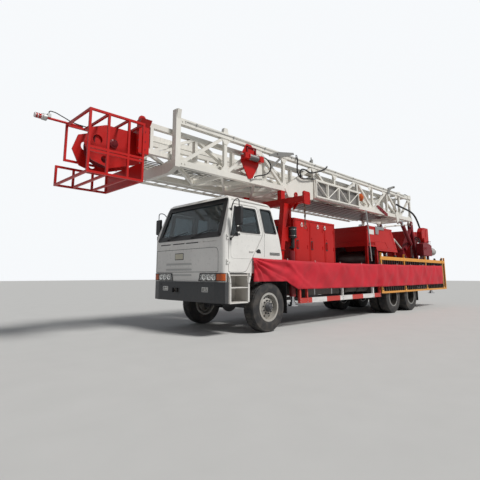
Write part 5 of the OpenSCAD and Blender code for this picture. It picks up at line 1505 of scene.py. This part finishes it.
with piece("house_bracket", zinc, slot="bumper_grey", edge=0.002) as mesh:
    plate(mesh, [(-5.53, 2.57), (-5.53, 2.83), (-6.15, 2.83), (-6.15, 2.74), (-5.76, 2.73),
                 (-5.74, 2.57)], "y", house_y + 0.0105, house_y + 0.022)
    for x in (-5.6, -5.7, -6.05):
        stud(mesh, "y", x, 2.78, house_y + 0.02, house_y + 0.034, 0.013)
    bar(mesh, (-4.91, 1.115, 3.28), (-5.115, 1.115, 1.67), 0.021, 14)
    for x, z in ((-4.985, 2.7), (-5.045, 2.22)):
        block(mesh, (x - 0.02, 1.06, z - 0.02), (x + 0.02, 1.135, z + 0.02))
    for k in range(6):
        x = -4.925 - 0.006 * k
        z = 3.16 - 0.05 * k
        bar(mesh, (x, 1.115, z), (x - 0.005, 1.115, z - 0.04), 0.024)
# Drum: rope turns between its flanges, and the brake bands
drum_rope = bright_steel("drum_rope_steel", (0.2, 0.19, 0.18), 0.5)
with piece("drum_rope", drum_rope, slot="ram_steel", smooth=60.0) as mesh:
    for k in range(34):
        ring(mesh, (drum_x, -0.578 + 0.035 * k, drum_z), "y", 0.262, 0.0165, 36, 6)
with piece("brake_bands", maroon_paint, mirror=True) as mesh:
    turned(mesh, [(0.484, 0.604), (0.494, 0.608), (0.494, 0.634), (0.484, 0.638)],
           (drum_x, 0.0, drum_z), "y", 44)
    block(mesh, (-5.74, 0.6, 1.24), (-5.68, 0.64, 1.82))

# %% [markdown]
# ## Rear machinery
# Behind the mast's foot stand a red pump housing and the driller's box. Flanges with bolt
# circles, a hand wheel, blank dials and levers tell what they are. The tail has lamps, flaps
# and a towing loop, and the frames carry reflectors.

# %% Housings, tubes and controls
pump_y = 0.96
housing_x = -10.62
with piece("pump_details", red_paint, edge=0.003) as mesh:
    turned(mesh, [(0.125, 0.0), (0.15, 0.004), (0.15, 0.028), (0.125, 0.032)],
           (-10.0, pump_y + 0.055, 2.64), "y")
    bolts(mesh, around((-10.0, pump_y + 0.088, 2.64), "y", 0.088, 8), "y", -0.004, 0.014, 0.011)
    plate(mesh, rounded(-10.55, 2.62, -10.3, 3.12, 0.03), "y", pump_y, pump_y + 0.01)
    for x, z in ((-10.52, 2.66), (-10.52, 3.08), (-10.33, 2.66), (-10.33, 3.08), (-10.06, 3.1),
                 (-9.94, 2.95)):
        stud(mesh, "y", x, z, pump_y + 0.004, pump_y + 0.02, 0.012)
    turned(mesh, [(0.0, 0.06), (0.055, 0.058), (0.075, 0.03), (0.075, -0.01)],
           (-10.09, pump_y - 0.1, 3.12), "z", 20)
    for x in (-9.84, -10.51):
        block(mesh, (x - 0.03, -0.515, 1.23), (x + 0.03, 0.515, 3.075))
    for z in (1.85, 2.45):
        block(mesh, (-10.61, -0.51, z), (-9.74, 0.51, z + 0.05))
with piece("housing_covers", red_paint, edge=0.002) as mesh:
    for low, high in ((1.3, 1.8), (1.95, 2.4)):
        middle = (low + high) / 2
        plate(mesh, rounded(-0.4, low, 0.4, high, 0.04), "x", housing_x - 0.002, housing_x + 0.022)
        for y in (-0.36, -0.12, 0.12, 0.36):
            for z in (low + 0.04, high - 0.04):
                stud(mesh, "x", y, z, housing_x + 0.002, housing_x - 0.014, 0.012)
        for y in (-0.1, 0.1):
            stud(mesh, "x", y, middle, housing_x, housing_x - 0.04, 0.009, 8)
        stud(mesh, "y", housing_x - 0.04, middle, -0.12, 0.12, 0.01, 10)
    turned(mesh, [(0.0, 0.034), (0.13, 0.034), (0.14, 0.022), (0.185, 0.022), (0.185, -0.002)],
           (housing_x + 0.02, 0.0, 2.76), (-1.0, 0.0, 0.0), 36)
    bolts(mesh, around((housing_x + 0.002, 0.0, 2.76), "x", 0.162, 10), "x", 0.0, -0.018, 0.011)
    for sign in both:
        for low, high in ((1.32, 1.8), (2.55, 3.0)):
            plate(mesh, rounded(-10.43, low, -9.92, high, 0.03), "y", *sorted((sign * 0.498, sign * 0.512)))
            for x in (-10.39, -10.175, -9.96):
                for z in (low + 0.035, high - 0.035):
                    stud(mesh, "y", x, z, sign * 0.51, sign * 0.524, 0.011)
        for k in range(6):
            z = 1.98 + 0.07 * k
            louvre = [(0.498, z), (0.498, z + 0.045), (0.522, z + 0.012), (0.522, z)]
            plate(mesh, [(sign * y, height) for y, height in louvre], "x", -10.4, -9.95)
with piece("stay_tubes", mast_paint) as mesh:
    bar(mesh, (-7.36, 0.6, 3.02), (-9.3, 0.6, 3.262), 0.028, 14)
    bar(mesh, (-6.7, 0.6, 2.81), (-7.36, 0.6, 3.02), 0.028, 14)
    block(mesh, (-6.76, 0.54, 2.796), (-6.64, 0.66, 2.812))
    ring(mesh, (-7.36, 0.6, 3.02), "y", 0.042, 0.014, 20, 6)
    for y in (-0.6, 0.6):
        bar(mesh, (-8.64, y, 2.26), (-8.01, y, 2.6), 0.03)
        bar(mesh, (-8.01, y, 2.6), (-7.99, y, 1.23), 0.03)
with piece("driller_box", maroon_paint, edge=0.003) as mesh:
    # Lid, panel with blank dials, levers with knobs, feet
    plate(mesh, [(-9.36, 2.42), (-9.36, 2.47), (-9.8, 2.54), (-9.9, 2.5), (-10.24, 2.44), (-10.24, 2.42)],
          "y", 0.905, 1.175)
    for x in (-9.5, -9.66):
        dial = [(0.0, 0.008), (0.044, 0.008), (0.05, 0.014), (0.056, 0.012), (0.058, 0.0)]
        turned(mesh, dial, (x, 1.18, 2.28), "y", 24)
    block(mesh, (-9.345, 0.93, 2.05), (-9.335, 1.15, 2.38))
    for k in range(5):
        y = 0.94 + 0.05 * k
        x = -10.23 + 0.02 * (k % 2)
        bar(mesh, (-10.2, y, 2.43), (x, y, 2.58), 0.008, 8)
        turned(mesh, [(0.0, 0.022), (0.014, 0.016), (0.018, 0.0), (0.014, -0.014), (0.0, -0.02)],
               (x - 0.005, y, 2.6), "z", 12)
    for x in (-10.12, -9.48):
        block(mesh, (x - 0.06, 0.985, 1.22), (x + 0.06, 1.095, 1.236))
tank_grey = paint("tank_grey", (0.4, 0.39, 0.37))
with piece("round_tank", tank_grey, slot="bumper_grey") as mesh:
    for x in (-10.36, -10.62):
        ring(mesh, (x, 1.04, 2.2), "x", 0.151, 0.006, 32, 6)
    turned(mesh, [(0.15, 0.0), (0.13, 0.045), (0.08, 0.075), (0.0, 0.085)], (-10.7, 1.04, 2.2),
           (-1.0, 0.0, 0.0), 28)
deck_hoses = [[(-9.7, 0.93, 2.44), (-9.72, 0.86, 2.62), (-9.76, 0.72, 2.7), (-9.79, 0.58, 2.62),
               (-9.74, 0.5, 2.5)],
              [(-9.84, 0.93, 2.44), (-9.86, 0.84, 2.7), (-9.9, 0.74, 2.78), (-9.9, 0.62, 2.7),
               (-9.88, 0.505, 2.56)],
              [(-10.16, 0.82, 2.45), (-10.18, 0.88, 2.3), (-10.22, 0.92, 2.0), (-10.24, 0.9, 1.7),
               (-10.26, 0.8, 1.3)],
              [(-9.42, 1.12, 2.02), (-9.42, 1.14, 1.8), (-9.34, 1.12, 1.55), (-9.2, 1.05, 1.4),
               (-9.05, 0.95, 1.25)]]
for k, points in enumerate(deck_hoses):
    tube_piece(f"deck_hose_{k}", points, 0.017, hose_rubber)

# %% Tail, flaps, tanks and brake gear
tank_y = 0.86
tank = [(0.0, -0.3), (0.09, -0.29), (0.128, -0.255), (0.132, -0.24), (0.132, 0.24), (0.128, 0.255),
        (0.09, 0.29), (0.0, 0.3)]
brake_pot = [(0.0, 0.0), (0.075, 0.0), (0.085, 0.02), (0.09, 0.045), (0.085, 0.07), (0.06, 0.11),
             (0.0, 0.12)]
with piece("mud_flaps", hose_rubber, mirror=True) as mesh:
    plate(mesh, [(0.6, 0.32), (0.6, 1.1), (1.23, 1.1), (1.23, 0.32)], "x", -8.36, -8.35)
    for y in (0.7, 0.92, 1.14):
        stud(mesh, "x", y, 1.06, -8.355, -8.368, 0.016)
    plate(mesh, [(0.62, 0.36), (0.62, 1.1), (1.23, 1.1), (1.23, 0.36)], "x", -0.63, -0.622)
with piece("air_tanks", black_paint) as mesh:
    for sign in both:
        y = sign * tank_y
        for x in (-4.05, -4.75):
            turned(mesh, tank, (x, y, 0.86), "x", 26)
            for end in (x - 0.16, x + 0.16):
                ring(mesh, (end, y, 0.86), "x", 0.133, 0.006, 26, 6)
                block(mesh, (end - 0.02, y - 0.05, 0.98), (end + 0.02, y + 0.05, 1.105))
        for x, pot_y in ((0.0, 0.55), (middle_x, 0.4), (rear_x, 0.4)):
            at = (x - 0.1, sign * pot_y, 0.72)
            turned(mesh, brake_pot, at, (-1.0, 0.0, 0.25), 22)
            bar(mesh, at, (x + 0.02, sign * pot_y, 0.66), 0.02, 8)
        block(mesh, (-5.28, y - 0.22, 0.7), (-5.18, y + 0.22, 1.1))
with piece("tank_straps", zinc, mirror=True, edge=0.002) as mesh:
    bar(mesh, (-2.35, 1.09, 1.02), (-2.35, 1.155, 1.035), 0.055, 20)
    for x in (-2.7, -1.9):
        block(mesh, (x - 0.024, 1.118, 0.735), (x + 0.024, 1.126, 1.1))
        block(mesh, (x - 0.024, 0.55, 0.724), (x + 0.024, 1.12, 0.731))
with piece("tail_beam", black_paint, edge=0.003) as mesh:
    block(mesh, (-10.968, -0.42, 0.84), (-10.94, 0.42, 1.02))
    ring(mesh, (-10.99, 0.0, 0.92), "x", 0.062, 0.014, 24, 8)
    for y in (-0.36, 0.36):
        for z in (0.87, 0.99):
            stud(mesh, "x", y, z, -10.96, -10.985, 0.016)
    for y in (0.78, -0.78):
        block(mesh, (-10.97, y - 0.04, 1.06), (-10.95, y + 0.04, 1.2))
with piece("tail_plate_blank", cab_paint) as mesh:
    plate(mesh, rounded(-0.24, 1.09, 0.24, 1.18, 0.012), "x", -10.962, -10.952)

# %% [markdown]
# ## Deck and platforms
# The deck is tread plate: a grid of short raised bars, each a few faces, laid only where it
# shows. The platforms get their locking pins, rollers and the clamps that hold them up.

# %% Tread plate and platform hardware
deck_top = 1.2205
platform_y = 1.2503
platform_out = platform_y + 0.05


def tread(mesh, x_low, x_high, y_low, y_high):
    step = 0.115
    for i in range(int((x_high - x_low) / step)):
        for j in range(int((y_high - y_low) / step)):
            centre = Vector((x_low + step * (i + 0.5), y_low + step * (j + 0.5), deck_top))
            way = 1.0 if (i + j) % 2 else -1.0
            a = Vector((0.03, 0.03 * way, 0.0))
            b = Vector((0.006, -0.006 * way, 0.0))
            verts = [mesh.verts.new(centre + p) for p in (a, b, -a, -b)]
            top = mesh.verts.new(centre + Vector((0.0, 0.0, 0.004)))
            for k in range(4):
                mesh.faces.new((verts[k], verts[(k + 1) % 4], top))


with piece("deck_tread", maroon_paint, smooth=10.0) as mesh:
    for x_low, x_high in ((-5.6, -3.15), (-8.55, -7.25)):
        tread(mesh, x_low, x_high, -1.19, 1.19)
    for y_low, y_high in ((-1.19, -1.04), (1.04, 1.19)):
        for x_low, x_high in ((-3.15, -1.25), (-10.9, -8.6)):
            tread(mesh, x_low, x_high, y_low, y_high)
roller = [(0.0, -0.045), (0.026, -0.045), (0.032, -0.036), (0.032, 0.036), (0.026, 0.045), (0.0, 0.045)]
with piece("platform_rollers", trim_plastic, mirror=True, edge=0.002) as mesh:
    for k in range(8):
        x = -5.75 - 0.74 * k
        block(mesh, (x - 0.07, platform_y + 0.002, 1.815), (x + 0.07, platform_out - 0.002, 1.852))
        turned(mesh, roller, (x, platform_y + 0.025, 1.872), "x", 16)
    for x in platform_posts:
        for z in (0.78, 1.9):
            stud(mesh, "y", x, z, platform_y - 0.002, platform_out + 0.014, 0.016, 10)
with piece("platform_plates", yellow_paint, mirror=True, edge=0.002) as mesh:
    skin = platform_y + 0.0495
    for x in platform_posts:
        for z in (0.72, 1.775):
            foot = [(x - 0.1, z - 0.05), (x + 0.1, z - 0.05), (x + 0.045, z + 0.06), (x - 0.045, z + 0.06)]
            plate(mesh, foot, "y", skin, platform_y + 0.0565)
    for z_low, z_high in ((1.765, 1.785), (0.685, 0.7)):
        block(mesh, (-11.27, skin, z_low), (-5.42, platform_y + 0.0525, z_high))
# Side guard: bolts, and reflectors on the deck's edge
with piece("guard_bolts", zinc, mirror=True) as mesh:
    for x in (-1.13, -1.42, -3.08, -4.85, -5.3):
        for z in (0.59, 0.65):
            stud(mesh, "y", x, z, 1.248, 1.262, 0.011)
with piece("side_reflectors", amber_glass, mirror=True, edge=0.002) as mesh:
    for x in (-0.85, -5.1):
        block(mesh, (x - 0.05, 1.25, 1.13), (x + 0.05, 1.256, 1.17))
print("deck dressed")

# %% [markdown]
# ## Stage
# A plain pale floor and soft light. A broad sun lamp gives one gentle shadow along the whole
# sixteen metres, where an area lamp would fade with distance. The white background comes from
# the world, for camera and transmitted rays, and dimmed for glossy rays, so it adds no light.

# %% Floor, light and world
floor_mesh = bmesh.new()
bmesh.ops.create_grid(floor_mesh, x_segments=1, y_segments=1, size=90.0)
floor_data = bpy.data.meshes.new("floor")
floor_mesh.to_mesh(floor_data)
floor_mesh.free()
floor_finish = Finish("floor")
floor_tone = floor_finish.mix(floor_finish.grain(2.0, 5.0), (0.54, 0.54, 0.53, 1.0),
                              (0.59, 0.59, 0.58, 1.0))
floor_data.materials.append(floor_finish.surface({"Base Color": floor_tone, "Roughness": 0.9}))
floor = bpy.data.objects.new("floor", floor_data)
bpy.context.scene.collection.objects.link(floor)
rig.stage(floor)

sun_data = bpy.data.lights.new("soft_sun", "SUN")
sun_data.energy = 3.0
sun_data.angle = math.radians(14)
sun_data.color = (1.0, 0.98, 0.95)
sun = bpy.data.objects.new("soft_sun", sun_data)
sun.rotation_euler = Vector((-0.2, 0.8, 0.95)).to_track_quat("Z", "Y").to_euler()
bpy.context.scene.collection.objects.link(sun)

world = bpy.data.worlds.new("studio")
bpy.context.scene.world = world
world.use_nodes = True
tree = world.node_tree
tree.nodes.clear()


def world_node(kind, *inputs, operation=None):
    """A node of the world: each input is a value or another node's output."""
    made = tree.nodes.new(kind)
    if operation:
        made.operation = operation
    for socket, value in zip(made.inputs, inputs):
        if isinstance(value, bpy.types.NodeSocket):
            tree.links.new(value, socket)
        else:
            socket.default_value = value
    return made.outputs


rays = world_node("ShaderNodeLightPath")
seen = world_node("ShaderNodeMath", rays["Is Camera Ray"], rays["Is Transmission Ray"], operation="MAXIMUM")
mirrored_sky = world_node("ShaderNodeMath", rays["Is Glossy Ray"], 0.42, operation="MULTIPLY")
shown = world_node("ShaderNodeMath", seen[0], mirrored_sky[0], operation="MAXIMUM")
sky_light = world_node("ShaderNodeBackground", (0.86, 0.92, 1.0, 1.0), 0.2)
backdrop = world_node("ShaderNodeBackground", (0.93, 0.95, 0.97, 1.0), 1.0)
either = world_node("ShaderNodeMixShader", shown[0], sky_light[0], backdrop[0])
world_node("ShaderNodeOutputWorld", either[0])

bpy.context.scene.view_settings.view_transform = "Standard"

# %% Sizes and the end
dressed_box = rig.bounds()
with open("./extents.json", "w") as size_file:
    json.dump({"cad": [list(corner) for corner in cad_box],
               "dressed": [list(corner) for corner in dressed_box]}, size_file)
print("dressed box:", [round(v, 3) for corner in dressed_box for v in corner])
